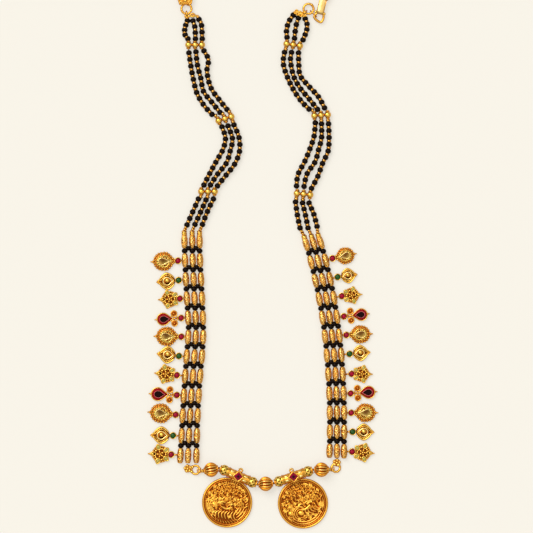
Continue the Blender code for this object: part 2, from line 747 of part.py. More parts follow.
def front_places():
    """Plan places of the strung pieces, worked outward from the middle bead, and the eyes."""
    middle = plan(CENTRE_BEAD)
    places = {"bead_centre": (middle, CENTRE_BEAD_TURN)}
    for side, way in (("left", -1), ("right", 1)):
        joint = middle + heading(CENTRE_BEAD_TURN) * way * (RIBBED_BEAD_LENGTH + STRING_GAP) / 2
        run = heading(TUBE_TURN[side]) * way
        bail = joint + run * (tube_half() + STRING_GAP / 2)
        joint = bail + run * (tube_half() + STRING_GAP / 2)
        run = heading(END_BEAD_TURN[side]) * way
        bead = joint + run * (RIBBED_BEAD_LENGTH + STRING_GAP) / 2
        eye = bead + run * RIBBED_BEAD_LENGTH / 2 + heading(EYE_TURN[side]) * way * EYE_STANDOFF[side] * MM
        places[f"bail_{side}"] = (bail, TUBE_TURN[side])
        places[f"bead_{side}"] = (bead, END_BEAD_TURN[side])
        places[f"eye_{side}"] = (eye, EYE_TURN[side])
    return places


def ribbed_bead(name, place, turn):
    """A round melon bead with ribs from bore to bore."""
    half = RIBBED_BEAD_LENGTH / 2
    stations = ((-0.97, 0.34), (-0.62, 0.8), (0, 1), (0.62, 0.8), (0.97, 0.34))
    sections = []
    for share, radius_share in stations:
        ring = []
        for i in range(RIBBED_BEAD_SIDES):
            angle = 2 * math.pi * i / RIBBED_BEAD_SIDES
            groove = 1 - (RIB_DEPTH if i % 2 else 0)
            radius = RIBBED_BEAD_RADIUS * radius_share * groove
            ring.append(Vector((share * half, radius * math.cos(angle), radius * math.sin(angle))))
        sections.append(ring)
    for share in (1, -1):
        sections.append(
            [
                Vector((share * half, FRONT_BORE_RADIUS * math.cos(angle), FRONT_BORE_RADIUS * math.sin(angle)))
                for angle in (2 * math.pi * i / RIBBED_BEAD_SIDES for i in range(RIBBED_BEAD_SIDES))
            ]
        )
    obj = loft(name, sections, "gold", NECKLACE, bored=True)
    obj.location = (place.x, place.y, RIBBED_BEAD_RADIUS)
    obj.rotation_euler = (0, 0, math.radians(turn))
    return obj


def front_wire(places):
    """The wire through beads and bails, with an open eye round the corner ring at each end."""
    def eye(side, way):
        middle, turn = places[f"eye_{side}"]
        inward = heading(turn) * -way
        height = Vector((0, 0, eye_height()))
        arc = []
        for i in range(EYE_POINTS):
            angle = math.radians(EYE_START + EYE_SWEEP * i / (EYE_POINTS - 1))
            arc.append(
                middle + height
                + inward * EYE_RADIUS * math.cos(angle)
                + Vector((0, 0, EYE_RADIUS * math.sin(angle)))
            )
        return arc

    def bead_run(name):
        middle, turn = places[name]
        reach = heading(turn) * RIBBED_BEAD_LENGTH * 0.45
        lift = Vector((0, 0, RIBBED_BEAD_RADIUS))
        return [middle - reach + lift, middle + reach + lift]

    def bail_run(name):
        middle, turn = places[name]
        reach = heading(turn) * (tube_half() - TUBE_BALL_LENGTH * 0.2)
        lift = Vector((0, 0, tube_height()))
        return [middle - reach + lift, middle + reach + lift]

    path = list(reversed(eye("left", -1)))
    path += bead_run("bead_left") + bail_run("bail_left") + bead_run("bead_centre")
    path += bail_run("bail_right") + bead_run("bead_right")
    path += eye("right", 1)
    return tube("front_wire", path, [FRONT_WIRE_RADIUS] * len(path), "gold", NECKLACE, side_steps=1)


def eye_height():
    return EYE_RADIUS + FRONT_WIRE_RADIUS


def corner_ring(side, places):
    """A ring held up at one side by the wire's eye, with a flower soldered to it."""
    way = -1 if side == "left" else 1
    eye, turn = places[f"eye_{side}"]
    low = CORNER_WIRE_RADIUS
    tilt = math.asin((eye_height() - low) / (2 * CORNER_RING_RADIUS))
    outward = heading(turn) * way
    middle = eye + outward * CORNER_RING_RADIUS * math.cos(tilt)
    middle.z = (eye_height() + low) / 2
    along = outward * math.cos(tilt) - Vector((0, 0, math.sin(tilt)))
    across = Vector((-outward.y, outward.x, 0))
    name = f"corner_ring_{side}"
    ring = loop(name, middle, along, across, CORNER_RING_RADIUS, CORNER_RING_RADIUS,
                CORNER_WIRE_RADIUS, "gold", CUTTERS)
    flower = FLOWERS[side]
    spot = middle + heading(flower["bearing"]) * (CORNER_RING_RADIUS + FLOWER_RADIUS * flower["standoff"])
    profile = (
        (0, FLOWER_HEIGHT),
        (FLOWER_RADIUS * 0.45, FLOWER_HEIGHT * 0.95),
        (FLOWER_RADIUS, FLOWER_HEIGHT * 0.4),
        (FLOWER_RADIUS * 0.7, 0),
        (0, 0),
    )
    dome = turned("flower", profile, FLOWER_SIDES, "gold", CUTTERS)
    dome.location = (spot.x, spot.y, GAP / 3)
    return combined(name, ring, [dome])


# Coin pendants, drawn with the coin's middle at the origin and the tube along X above it


def bail_offset():
    return COIN_RADIUS + TUBE_RADIUS - SOLDER_OVERLAP


def coin():
    floor = COIN_THICKNESS - COIN_RIM_HEIGHT
    inner = COIN_RADIUS - COIN_RIM_WIDTH
    profile = (
        (0, floor),
        (inner - COIN_RIM_HEIGHT, floor),
        (inner, COIN_THICKNESS),
        (COIN_RADIUS, COIN_THICKNESS),
        (COIN_RADIUS, 0),
        (0, 0),
    )
    return turned("coin", profile, COIN_SIDES, "gold", CUTTERS)


def relief_mound(x, y, half_width, half_height, turn, rise=1.0):
    """One low mound of the cast relief, its sizes in shares of the field's radius."""
    field = COIN_RADIUS - COIN_RIM_WIDTH - COIN_RIM_HEIGHT
    floor = COIN_THICKNESS - COIN_RIM_HEIGHT
    sections = []
    for height, share in ((floor - RELIEF_SINK * rise, 1), (floor + RELIEF_HEIGHT * rise, 0.6)):
        ring = []
        for i in range(RELIEF_SIDES):
            angle = 2 * math.pi * (i + 0.5) / RELIEF_SIDES
            spot = Vector((half_width * math.cos(angle), half_height * math.sin(angle), 0)) * share * field
            spot.rotate(Matrix.Rotation(math.radians(turn), 3, "Z"))
            ring.append(spot + Vector((x * field, y * field, height)))
        sections.append(ring)
    return loft("mound", sections, "gold", CUTTERS)


def relief():
    mounds = [relief_mound(**row) for row in RELIEF]
    for i in range(PETALS):
        bearing = -90 + PETAL_SPREAD * (i / (PETALS - 1) - 0.5)
        spot = heading(bearing) * PETAL_RADIUS
        mounds.append(relief_mound(spot.x, spot.y, PETAL_HALF_LENGTH, PETAL_HALF_WIDTH, bearing))
    return mounds


def tube_bail():
    """A tube with a ball at each end, bored for the front wire."""
    half = tube_half()
    ball = TUBE_BALL_LENGTH
    upper = (
        (FRONT_BORE_RADIUS, half),
        (TUBE_BALL_RADIUS * 0.45, half),
        (TUBE_BALL_RADIUS * 0.86, half - ball * 0.2),
        (TUBE_BALL_RADIUS, half - ball * 0.5),
        (TUBE_COLLAR_RADIUS, half - ball),
        (TUBE_RADIUS, half - ball * 1.15),
    )
    lower = tuple((radius, -z) for radius, z in reversed(upper))
    obj = turned("tube", upper + lower, TUBE_SIDES, "bright_gold", CUTTERS)
    lie_along(obj, Vector((0, bail_offset(), tube_height())), Vector((1, 0, 0)))
    return obj


def ruby_setting():
    """A square gold setting on its point on the tube, with a table-cut ruby."""
    def square(width, height, trim):
        ring = []
        for i in range(4):
            for lean in (-1, 1):
                ring.append(heading(90 * i + lean * trim) * width / math.sqrt(2) + Vector((0, 0, height)))
        return ring
    seat = TUBE_RADIUS * 0.5
    top = TUBE_RADIUS + RUBY_SETTING_RISE
    sections = (
        square(RUBY_SETTING_WIDTH, seat, 6),
        square(RUBY_SETTING_WIDTH, top, 6),
        square(RUBY_WIDTH * 0.66, TUBE_RADIUS + RUBY_RISE, 10),
    )
    obj = loft("setting", sections, "ruby", CUTTERS)
    obj.location = (0, bail_offset(), tube_height())
    return obj


def saddle():
    """Solder between the coin's edge and the tube's underside."""
    low, high = COIN_THICKNESS * 0.3, tube_height()
    near, far = COIN_RADIUS - SADDLE_WIDTH, COIN_RADIUS + TUBE_RADIUS * 0.55
    sections = []
    for height in (low, high):
        ring = []
        for x, y in ((-1, near), (1, near), (1, far), (-1, far)):
            ring.append(Vector((x * SADDLE_LENGTH / 2, y, height)))
        sections.append(ring)
    return loft("saddle", sections, "gold", CUTTERS)


def coin_pendant(side, places):
    bail, turn = places[f"bail_{side}"]
    back = Vector((0, bail_offset() + TUBE_RADIUS, tube_height()))
    granule = rod("granule", back - Vector((0, TUBE_RADIUS * 0.3, 0)),
                  back + Vector((0, BACK_GRANULE_RADIUS, 0)), BACK_GRANULE_RADIUS, 6, "gold",
                  BACK_GRANULE_RADIUS * 0.6)
    pieces = [coin(), *relief(), saddle(), tube_bail(), ruby_setting(), granule]
    origin = bail - heading(turn + 90) * bail_offset()
    frame = Matrix.Translation(origin) @ Matrix.Rotation(math.radians(turn), 4, "Z")
    for piece in pieces:
        piece.matrix_world = frame @ piece.matrix_basis
    return combined(f"coin_pendant_{side}", pieces[0], pieces[1:])


# Top fittings and back chain


def top_ring(name, side, where):
    middle = plan(TOP_RINGS[side], TOP_RING_HEIGHT)
    return loop(name, middle, heading(0), heading(90), TOP_RING_RADIUS, TOP_RING_RADIUS,
                TOP_WIRE_RADIUS, "gold", where)


def strand_fork(side):
    """An eye round the top ring's wire, soldered to a bar that the three strands hang from."""
    bearing = FORK_BEARING[side]
    held = plan(TOP_RINGS[side], TOP_RING_HEIGHT) + heading(bearing) * TOP_RING_RADIUS
    name = f"strand_fork_{side}"
    eye = loop(name, held, heading(bearing), Vector((0, 0, 1)), FORK_EYE_RADIUS, FORK_EYE_RADIUS,
               FORK_WIRE_RADIUS, "gold", CUTTERS)
    path = evenly([hanger(side, number) for number in range(3)], 2 * FORK_EYE_RADIUS)
    ends = [path[0] * 2 - path[1], path[-1] * 2 - path[-2]]
    path = [path[0].lerp(ends[0], 0.3), *path, path[-1].lerp(ends[1], 0.3)]
    bar = tube("bar", path, [FORK_BAR_RADIUS] * len(path), "gold", CUTTERS, side_steps=1)
    near = held + heading(bearing) * FORK_EYE_RADIUS
    anchor = min(path, key=lambda spot: (spot - near).length)
    stem = rod("stem", held + heading(bearing) * (FORK_EYE_RADIUS - FORK_WIRE_RADIUS * 0.4), anchor,
               FORK_WIRE_RADIUS * 0.9, 6)
    return combined(name, eye, [bar, stem])


def connector_link():
    """A link standing on edge that holds the right top ring and the clasp's pointed loop."""
    way = heading(CLASP_BEARING)
    held = plan(TOP_RINGS["right"], TOP_RING_HEIGHT) + way * TOP_RING_RADIUS
    return loop("connector_link", held + way * LINK_REACH, way, Vector((0, 0, 1)),
                LINK_REACH + TOP_WIRE_RADIUS + LINK_WIRE_RADIUS + GAP,
                TOP_RING_HEIGHT - LINK_WIRE_RADIUS, LINK_WIRE_RADIUS, "gold", NECKLACE)


def slab(name, start, end, widths, thickness, finish):
    """A flat bar between two plan points, with its corners cut, as wide as told at each end."""
    run = (end - start).normalized()
    across = Vector((-run.y, run.x, 0))
    up = Vector((0, 0, 1))
    sections = []
    for spot, width in zip((start, end), widths):
        ring = []
        for x, z in ((-1, -0.6), (-0.8, -1), (0.8, -1), (1, -0.6), (1, 0.6), (0.8, 1), (-0.8, 1), (-1, 0.6)):
            ring.append(spot + across * x * width / 2 + up * z * thickness / 2)
        sections.append(ring)
    return loft(name, sections, finish, CUTTERS)


def clasp():
    """The clasp bar with its pointed loop, its plain box and the eye for the chain's ring."""
    foot, head = plan(CLASP_FOOT, TOP_RING_HEIGHT), plan(CLASP_HEAD, TOP_RING_HEIGHT)
    run = (head - foot).normalized()
    bar = slab("clasp_bar", foot, head, (CLASP_BAR_WIDTH, CLASP_BAR_WIDTH * 0.92),
               CLASP_BAR_THICKNESS, "bright_gold")
    path = [plan(spot, TOP_RING_HEIGHT) for spot in CLASP_LOOP]
    pointed = tube("pointed", path, [TOP_WIRE_RADIUS] * len(path), "gold", CUTTERS, side_steps=1)
    box = slab("box", head - run * CLASP_BOX_LENGTH * 0.35, head + run * CLASP_BOX_LENGTH * 0.65,
               (CLASP_BOX_WIDTH,) * 2, CLASP_BOX_THICKNESS, "gold")
    eye = chain_eye("eye", clasp_eye(), run)
    return combined("clasp_bar", bar, [pointed, box, eye])


def clasp_eye():
    foot, head = plan(CLASP_FOOT, TOP_RING_HEIGHT), plan(CLASP_HEAD, TOP_RING_HEIGHT)
    return head + (head - foot).normalized() * (CLASP_BOX_LENGTH * 0.65 + CHAIN_EYE_RADIUS * 0.8)


def cap_eye():
    return plan(CAP_FOOT, TOP_RING_HEIGHT) + heading(90 + CAP_TURN) * (CAP_LENGTH + CHAIN_EYE_RADIUS * 0.8)


def chain_eye(name, middle, run):
    """A flat eye soldered to the end of the cap or the clasp."""
    across = Vector((-run.y, run.x, 0))
    return loop(name, middle, run, across, CHAIN_EYE_RADIUS, CHAIN_EYE_RADIUS,
                CHAIN_EYE_WIRE_RADIUS, "gold", CUTTERS)


def end_cap():
    """The ornate cap at the chain's left end, with the left top ring soldered to its foot."""
    run = heading(90 + CAP_TURN)
    foot = plan(CAP_FOOT, TOP_RING_HEIGHT)
    shoulder = foot + run * CAP_LENGTH * 0.45
    head = foot + run * CAP_LENGTH
    low = slab("low", foot, shoulder, (CAP_BASE_WIDTH * 0.86, CAP_BASE_WIDTH), CAP_HEIGHT, "gold")
    high = slab("high", shoulder - run * GAP, head, (CAP_BASE_WIDTH * 0.94, CAP_TOP_WIDTH),
                CAP_HEIGHT * 0.9, "gold")
    ring = top_ring("ring", "left", CUTTERS)
    return combined("end_cap", low, [high, ring, chain_eye("eye", cap_eye(), run)])


def end_ring_middle():
    """The ring between the clasp's eye and the chain, standing on edge through the eye's far side."""
    foot, head = plan(CLASP_FOOT), plan(CLASP_HEAD)
    run = (head - foot).normalized()
    return clasp_eye() + run * CHAIN_RING_RADIUS, run


def chain_end_ring():
    middle, run = end_ring_middle()
    height = TOP_RING_HEIGHT - CHAIN_EYE_WIRE_RADIUS
    return loop("chain_end_ring", middle, run, Vector((0, 0, 1)), CHAIN_RING_RADIUS, height,
                CHAIN_EYE_WIRE_RADIUS, "gold", NECKLACE)


def back_chain():
    """The chain's outer form on half an oval from the cap's eye to the end ring."""
    start = cap_eye() + heading(90 + CAP_TURN) * (CHAIN_EYE_RADIUS + CHAIN_EYE_WIRE_RADIUS + GAP)
    ring, run = end_ring_middle()
    end = ring + run * (CHAIN_RING_RADIUS + CHAIN_EYE_WIRE_RADIUS + GAP)
    middle = (start + end) / 2
    reach = (start - end) / 2
    path = []
    for i in range(CHAIN_POINTS):
        angle = math.pi * i / (CHAIN_POINTS - 1)
        spot = middle + reach * math.cos(angle) + Vector((0, CHAIN_RISE * math.sin(angle), 0))
        spot.z = CHAIN_RADIUS
        path.append(spot)
    return tube("back_chain", path, [CHAIN_RADIUS] * len(path), "gold", NECKLACE)


def build():
    for side in ("left", "right"):
        for number in range(3):
            strand(side, number)
            column(side, number)
            spacer(side, number)
        for number, row in enumerate(DANGLES[side]):
            dangle(side, number, row)
        strand_fork(side)
    places = front_places()
    for name in ("left", "centre", "right"):
        ribbed_bead(f"ribbed_bead_{name}", *places[f"bead_{name}"])
    front_wire(places)
    for side in ("left", "right"):
        coin_pendant(side, places)
        corner_ring(side, places)
    end_cap()
    top_ring("top_ring_right", "right", NECKLACE)
    connector_link()
    clasp()
    chain_end_ring()
    back_chain()


def centre_on_origin():
    """Hangs every piece on one empty and moves it, so that the whole box is centred on the origin."""
    holder = bpy.data.objects.new("mangalsutra", None)
    NECKLACE.objects.link(holder)
    bpy.context.view_layer.update()
    graph = bpy.context.evaluated_depsgraph_get()
    corners = []
    for obj in NECKLACE.objects:
        if obj.type == "EMPTY":
            continue
        obj.parent = holder
        evaluated = obj.evaluated_get(graph)
        corners += [obj.matrix_world @ spot.co for spot in evaluated.to_mesh().vertices]
        evaluated.to_mesh_clear()
    for axis in range(2):
        values = [corner[axis] for corner in corners]
        holder.location[axis] = -(min(values) + max(values)) / 2


clear_scene()
NECKLACE = collection("mangalsutra")
CUTTERS = collection("cutters", hidden=True)
MATERIALS = {name: material(name) for name in COLOURS}
build()
centre_on_origin()
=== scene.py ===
"""Mangalsutra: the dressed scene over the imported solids.

The page frame is the photograph's: millimetres from a point inside the loop, +X right, +Y up.
Every piece is drawn there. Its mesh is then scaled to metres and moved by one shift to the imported
model's frame.
"""

import math

import bpy
import numpy as np
from mathutils import Matrix, Vector


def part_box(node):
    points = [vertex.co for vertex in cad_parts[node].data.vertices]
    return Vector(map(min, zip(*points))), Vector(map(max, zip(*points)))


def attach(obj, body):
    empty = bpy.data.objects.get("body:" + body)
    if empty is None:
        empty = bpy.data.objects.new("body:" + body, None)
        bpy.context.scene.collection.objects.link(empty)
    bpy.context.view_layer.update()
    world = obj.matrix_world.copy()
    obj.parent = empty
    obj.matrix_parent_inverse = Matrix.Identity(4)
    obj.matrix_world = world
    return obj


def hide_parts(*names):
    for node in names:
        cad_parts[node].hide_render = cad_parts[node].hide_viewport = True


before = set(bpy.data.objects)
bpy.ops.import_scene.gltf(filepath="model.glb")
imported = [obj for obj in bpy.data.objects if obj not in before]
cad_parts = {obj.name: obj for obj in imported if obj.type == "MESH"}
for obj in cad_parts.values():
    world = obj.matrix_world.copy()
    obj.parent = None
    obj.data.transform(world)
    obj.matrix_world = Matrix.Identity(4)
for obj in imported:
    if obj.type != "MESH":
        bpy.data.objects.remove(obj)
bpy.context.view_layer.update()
MM = 0.001
X, Y, Z = np.eye(3)
SIDES = (("left", -1), ("right", 1))

# Routes of the strings, the same chosen points as in the part's source
STRAND_ROUTES = {
    "left": (
        (
            ((-36.25, 122.6), (-37.5, 119), (-37.5, 115.75), (-36, 113.5)),
            ((-35.5, 106.5), (-34.5, 99.75), (-33.25, 93), (-31.5, 86.25), (-28, 80.25), (-24, 75.75)),
            ((-19, 69.5), (-17.25, 64), (-18.5, 58.25), (-22, 52), (-25.5, 45.5), (-28, 40.5)),
            ((-30.75, 33.5), (-33.75, 26.75), (-36.5, 20.5)),
        ),
        (
            ((-33.5, 122.5), (-32.5, 119), (-32.25, 113.5)),
            ((-32, 107), (-31.25, 100.25), (-29.5, 93.5), (-28.25, 87.25), (-24, 81.75), (-20, 76.75)),
            ((-16, 70), (-13.75, 63.5), (-15, 57), (-16.75, 51.5), (-21.5, 45.5), (-24.75, 40.5)),
            ((-27, 33), (-29.75, 26.75), (-32.5, 20.75)),
        ),
        (
            ((-30.5, 123.2), (-29.25, 120.5), (-28.85, 113.5)),
            ((-28, 107.5), (-25.75, 103), (-26.5, 97), (-24.5, 89), (-20.5, 83.25), (-16.5, 78.25)),
            ((-13, 70.5), (-10.5, 64.25), (-10.25, 57.25), (-12.75, 50.75), (-17.25, 45), (-21.25, 40)),
            ((-23.25, 33.5), (-26.25, 27.25), (-28.75, 20.75)),
        ),
    ),
    "right": (
        (
            ((16.6, 125.3), (14.25, 121.75), (13.25, 117.5), (13.5, 114.25)),
            ((12.25, 106.75), (11.6, 101.5), (13.25, 95.5), (16.5, 88.5), (20.5, 82.5), (24.5, 78.4)),
            ((27.65, 71.5), (27, 64.75), (24.75, 58), (22.25, 52), (19, 45.75), (18.25, 40)),
            ((17.75, 32), (18.75, 25), (20, 19)),
        ),
        (
            ((19.2, 123.9), (18, 120), (17.5, 116.5), (17.25, 113.75)),
            ((15.75, 106.75), (15.25, 102.5), (16.75, 95), (20, 89), (24.75, 83.25), (28.75, 78.25)),
            ((30.75, 71), (30.75, 64), (29.25, 58), (27.5, 52), (23.5, 46), (22, 39.75)),
            ((21.25, 31.5), (22.75, 25.25), (24, 19)),
        ),
        (
            ((22.6, 123.5), (23.5, 121), (23.25, 117.5), (21.5, 113)),
            ((19.25, 106.5), (19.35, 101), (20.15, 95), (24.5, 89.75), (29.25, 84.5), (32.25, 79)),
            ((34.25, 71), (34.5, 64), (34, 57.25), (31.25, 51.25), (29, 45), (25.75, 38.75)),
            ((24.5, 31.5), (27, 25.5), (28.5, 19.75)),
        ),
    ),
}
# Black beads in each stretch of each strand
BEAD_COUNTS = {
    "left": ((5, 11, 11, 5), (4, 11, 11, 5), (4, 11, 11, 5)),
    "right": ((5, 11, 11, 5), (4, 11, 11, 5), (5, 11, 11, 5)),
}
# Middle and turn of each row of three spacer balls
SPACER_PLACES = {
    "left": (((-32.4, 110.5), 0), ((-17.5, 73.6), 18), ((-26, 37.2), 0)),
    "right": (((16.6, 110.5), -8), ((30.5, 75.35), 4), ((21.75, 35.9), -6)),
}
COLUMN_ROUTES = {
    "left": (
        ((-37.85, 17), (-37.55, 5.5), (-36.8, -11.5), (-35.65, -31), (-36.3, -41), (-37.7, -59.5),
         (-38.9, -79.5), (-40, -98.6)),
        ((-33.9, 17), (-33.7, 5.5), (-32.95, -11.5), (-31.95, -31), (-32.45, -41), (-33.9, -59.5),
         (-35.2, -79.5), (-36.1, -98.6)),
        ((-30.2, 17), (-30.1, 5.5), (-29.2, -11.5), (-28.35, -31), (-28.7, -41), (-30.3, -59.5),
         (-31.4, -79.5), (-31.85, -98.6)),
    ),
    "right": (
        ((22, 14.75), (24.5, 6.15), (28.75, -11.9), (31.95, -30.45), (33.85, -49.15), (34.85, -68.1),
         (34.9, -87.1), (34.65, -95.9)),
        ((25.6, 15.25), (28, 6.75), (32.4, -11.6), (35.5, -30.35), (37.45, -49.05), (38.4, -68.25),
         (38.45, -87.2), (38.4, -96)),
        ((28.95, 15.75), (31.5, 7.75), (36, -11), (39.05, -30.15), (41, -49.05), (41.95, -68.35),
         (42, -87.5), (41.95, -96.2)),
    ),
}
# Kind, place along Y, length of the lug, tilt in degrees and size of each side dangle, from the top
DANGLES = {
    "left": (
        ("pear", 2.65, 0.3, -2.5, 0.97),
        ("leaf", -7, 0.4, -5, 1),
        ("star", -16.4, 0.3, -3, 0.96),
        ("drop", -26.05, 0.3, -4, 0.97),
        ("pear", -35.4, 0.3, 1, 0.98),
        ("leaf", -45, 0.65, 6, 1),
        ("star", -54.7, 0.95, 5.5, 1),
        ("drop", -64.55, 0.3, 3, 1.03),
        ("pear", -74.2, 0.3, 5.5, 1),
        ("leaf", -84.7, 1, 1, 1.02),
        ("star", -94.35, 1.4, 2, 1.02),
    ),
    "right": (
        ("pear", 3.7, 0.3, 11.5, 0.86),
        ("leaf", -5.35, 0.65, 7.5, 0.88),
        ("star", -15.05, 0.85, 5, 0.9),
        ("drop", -25.2, 0.3, 6, 0.94),
        ("pear", -34.6, 0.3, 2.5, 0.93),
        ("leaf", -44.05, 0.95, 4.5, 0.93),
        ("star", -53.75, 1.25, -1, 0.92),
        ("drop", -63.65, 0.3, 4, 0.97),
        ("pear", -73.4, 0.3, 0, 0.95),
        ("leaf", -82.75, 1, -1, 0.97),
        ("star", -92.8, 0.85, -4.5, 0.98),
    ),
}
CENTRE_BEAD = (2.85, -108.75)
CENTRE_BEAD_TURN = 4
TUBE_TURN = {"left": -23, "right": 19}
ART_LEAN = {"left": 15, "right": 6}
END_BEAD_TURN = {"left": 11, "right": 0}
EYE_TURN = {"left": -7, "right": 14}
EYE_STANDOFF = {"left": 2.2, "right": 1.6}
# Bearing of each corner flower on its ring, and how far out it sits for its radius
FLOWERS = {"left": (171, 0.95), "right": (80, 0.25)}

# Top fittings
TOP_RINGS = {"left": (-36.75, 128.5), "right": (24.25, 128.5)}
FORK_HANGERS = {
    "left": ((-36.4, 124.5), (-33.6, 125.1), (-31, 124.9)),
    "right": ((17.3, 127.1), (19.6, 126.1), (22.4, 125.5)),
}
FORK_BEARING = {"left": -90, "right": -135}
CLASP_BEARING = -45

# The clasp bar's lower and upper ends and its pointed loop
CLASP_FOOT = (29.9, 126.1)
CLASP_HEAD = (32.3, 136)
CLASP_LOOP = (
    (28.6, 126.6), (27.55, 125.5), (27.1, 124.4), (28.2, 122.9), (30.2, 121.8), (31.2, 122.6),
    (31.8, 124.6), (31.3, 126.6),
)
CAP_FOOT = (-37.2, 130.6)
CAP_TURN = 3

# Sizes that the pieces share with the solids
BEAD_RADIUS = 1.4
BEAD_HEIGHT = 1.53
BALL_RADIUS = 1.7
SPACER_PITCH = 3.3
BARRELS = 12
BARREL_RADIUS = 1.55
BARREL_HEIGHT = 1.81
COLUMN_BEAD_RADIUS = 1.48
COLUMN_BEAD_LENGTH = 2.4
COLUMN_DROP = {"left": 1.2, "right": 0.5}
COLUMN_EASE = {"left": 0.035, "right": 0.01}
TOP_TIE = 0.2
BEZEL_RADIUS = 1.7
COIN_RADIUS = 12.6
COIN_THICKNESS = 1.6
COIN_RIM_WIDTH = 0.9
TUBE_RADIUS = 2.35
TUBE_SPAN = 15.3
TUBE_REACH = 9.95
TUBE_BALL_RADIUS = 2.9
TUBE_BALL_LENGTH = 4.6
TUBE_HEIGHT = 3.05
BAIL_OFFSET = 14.35
RIBBED_RADIUS = 3.7
RIBBED_LENGTH = 7.3
STRING_GAP = 0.9
# Where the front wire meets a ribbed bead, from the bead's middle
BEAD_MOUTH = RIBBED_LENGTH * 0.45
EYE_RADIUS = 1.15
EYE_HEIGHT = 1.45
CORNER_RING_RADIUS = 2.1
CORNER_RING_LOW = 0.62
FLOWER_RADIUS = 1.9
TOP_RING_RADIUS = 2.5
TOP_RING_HEIGHT = 1.6
FORK_EYE_RADIUS = 1.2
LINK_REACH = 1.0
CAP_LENGTH = 9.5
CAP_BASE_WIDTH = 7.2
CAP_TOP_WIDTH = 3.4
CAP_HEIGHT = 3.2
CLASP_BAR_WIDTH = 3.6
CLASP_BAR_THICKNESS = 2.0
CLASP_BOX_LENGTH = 8.5
CLASP_BOX_WIDTH = 5.2
CLASP_BOX_THICKNESS = 3.0
CHAIN_RADIUS = 1.1
CHAIN_RISE = 28.0
CHAIN_EYE_RADIUS = 1.2
CHAIN_EYE_WIRE_RADIUS = 0.4
CHAIN_RING_RADIUS = 1.5
CHAIN_GAP = 0.3

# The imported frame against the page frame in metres, read from the middle bead's box
low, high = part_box("ribbed_bead_centre")
SHIFT = np.array([(low[k] + high[k]) / 2 - CENTRE_BEAD[k] * MM for k in (0, 1)] + [0])


# Shapes as arrays


class Form:
    """Vertices, four-cornered and three-cornered faces, and the painted light of each vertex: shade below
    1, highlight above it.
    """

    def __init__(self, verts, quads=(), tris=(), light=None):
        self.verts = np.asarray(verts, float).reshape(-1, 3)
        self.quads = np.asarray(quads, int).reshape(-1, 4)
        self.tris = np.asarray(tris, int).reshape(-1, 3)
        self.light = np.ones(len(self.verts)) if light is None else np.asarray(light, float)

    def moved(self, matrix):
        return Form(self.verts @ matrix[:3, :3].T + matrix[:3, 3], self.quads, self.tris, self.light)

    def triangles(self):
        """Every face as triangles: their corners' numbers, and the places of the three corners."""
        faces = np.concatenate([self.quads[:, :3], self.quads[:, [0, 2, 3]], self.tris])
        return faces, *(self.verts[faces[:, k]] for k in range(3))

    def side_shaded_light(self, depth):
        """The light with painted shade on the steep sides, as strong as the depth given."""
        faces, a, b, c = self.triangles()
        across = np.cross(b - a, c - a)
        normal = np.zeros_like(self.verts)
        for corner in range(3):
            np.add.at(normal, faces[:, corner], across)
        flat = np.abs(normal[:, 2]) / np.maximum(np.linalg.norm(normal, axis=1), 1e-14)
        share = np.clip((flat - 0.1) / 0.72, 0, 1)
        return self.light * (1 - depth + depth * share**2 * (3 - 2 * share))

    def outward(self):
        """The form with its faces turned outward, by the sign of its volume."""
        _, a, b, c = self.triangles()
        middle = self.verts.mean(0)
        if np.einsum("ij,ij->i", a - middle, np.cross(b - middle, c - middle)).sum() < 0:
            self.quads, self.tris = self.quads[:, ::-1], self.tris[:, ::-1]
        return self


class Piece:
    """Forms gathered with a finish each, then made into one mesh object."""

    def __init__(self, name):
        self.name, self.parts = name, []

    def add(self, form, finish="gold", flat=False, at=None):
        self.parts.append((form if at is None else form.moved(at), finish, flat))

    def ball(self, spot, radius, finish="gold", sides=12, rings=8):
        self.add(ball(radius, sides, rings), finish, at=placed(spot))

    def wire(self, path, radius, finish="gold", sides=8, **more):
        self.add(wire(path, radius, sides, **more), finish)

    def twist(self, at, radius, thick, turns, finish="gold", sides=36):
        self.add(twisted_ring(radius, thick, turns, sides), finish, at=at)

    def make(self, node):
        """One smooth-shaded mesh and the solid that it replaces."""
        forms, finishes, flats = zip(*self.parts)
        finish_names = list(dict.fromkeys(finishes))
        firsts = np.cumsum([0] + [len(form.verts) for form in forms])
        quads = np.concatenate([form.quads + first for form, first in zip(forms, firsts)])
        tris = np.concatenate([form.tris + first for form, first in zip(forms, firsts)])

        def per_face(values):
            counts = [[len(form.quads) for form in forms], [len(form.tris) for form in forms]]
            return np.concatenate([np.repeat(values, count) for count in counts])

        mesh = bpy.data.meshes.new(self.name)
        verts = np.concatenate([form.verts for form in forms]) * MM + SHIFT
        mesh.vertices.add(len(verts))
        mesh.vertices.foreach_set("co", verts.astype(np.float32).ravel())
        corners = np.concatenate([quads.ravel(), tris.ravel()]).astype(np.int32)
        mesh.loops.add(len(corners))
        mesh.loops.foreach_set("vertex_index", corners)
        counts = np.repeat([4, 3], [len(quads), len(tris)])
        mesh.polygons.add(len(counts))
        mesh.polygons.foreach_set("loop_start", (np.cumsum(counts) - counts).astype(np.int32))
        indices = per_face([finish_names.index(finish) for finish in finishes])
        mesh.polygons.foreach_set("material_index", indices.astype(np.int32))
        mesh.polygons.foreach_set("use_smooth", ~per_face(flats))
        # Painted light and shade of each vertex, with painted shade on the steep sides
        light = np.concatenate([form.side_shaded_light(SIDE_SHADE.get(finish, 0.85)) for form, finish, _ in self.parts])
        mesh.attributes.new("light", "FLOAT", "POINT").data.foreach_set("value", light.astype(np.float32))
        mesh.update(calc_edges=True)
        mesh.validate()
        for finish in finish_names:
            mesh.materials.append(MATERIALS[finish])
        made = bpy.data.objects.new(self.name, mesh)
        bpy.context.scene.collection.objects.link(made)
        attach(made, "root")
        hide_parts(node)


def unit(vector):
    return vector / np.linalg.norm(vector)


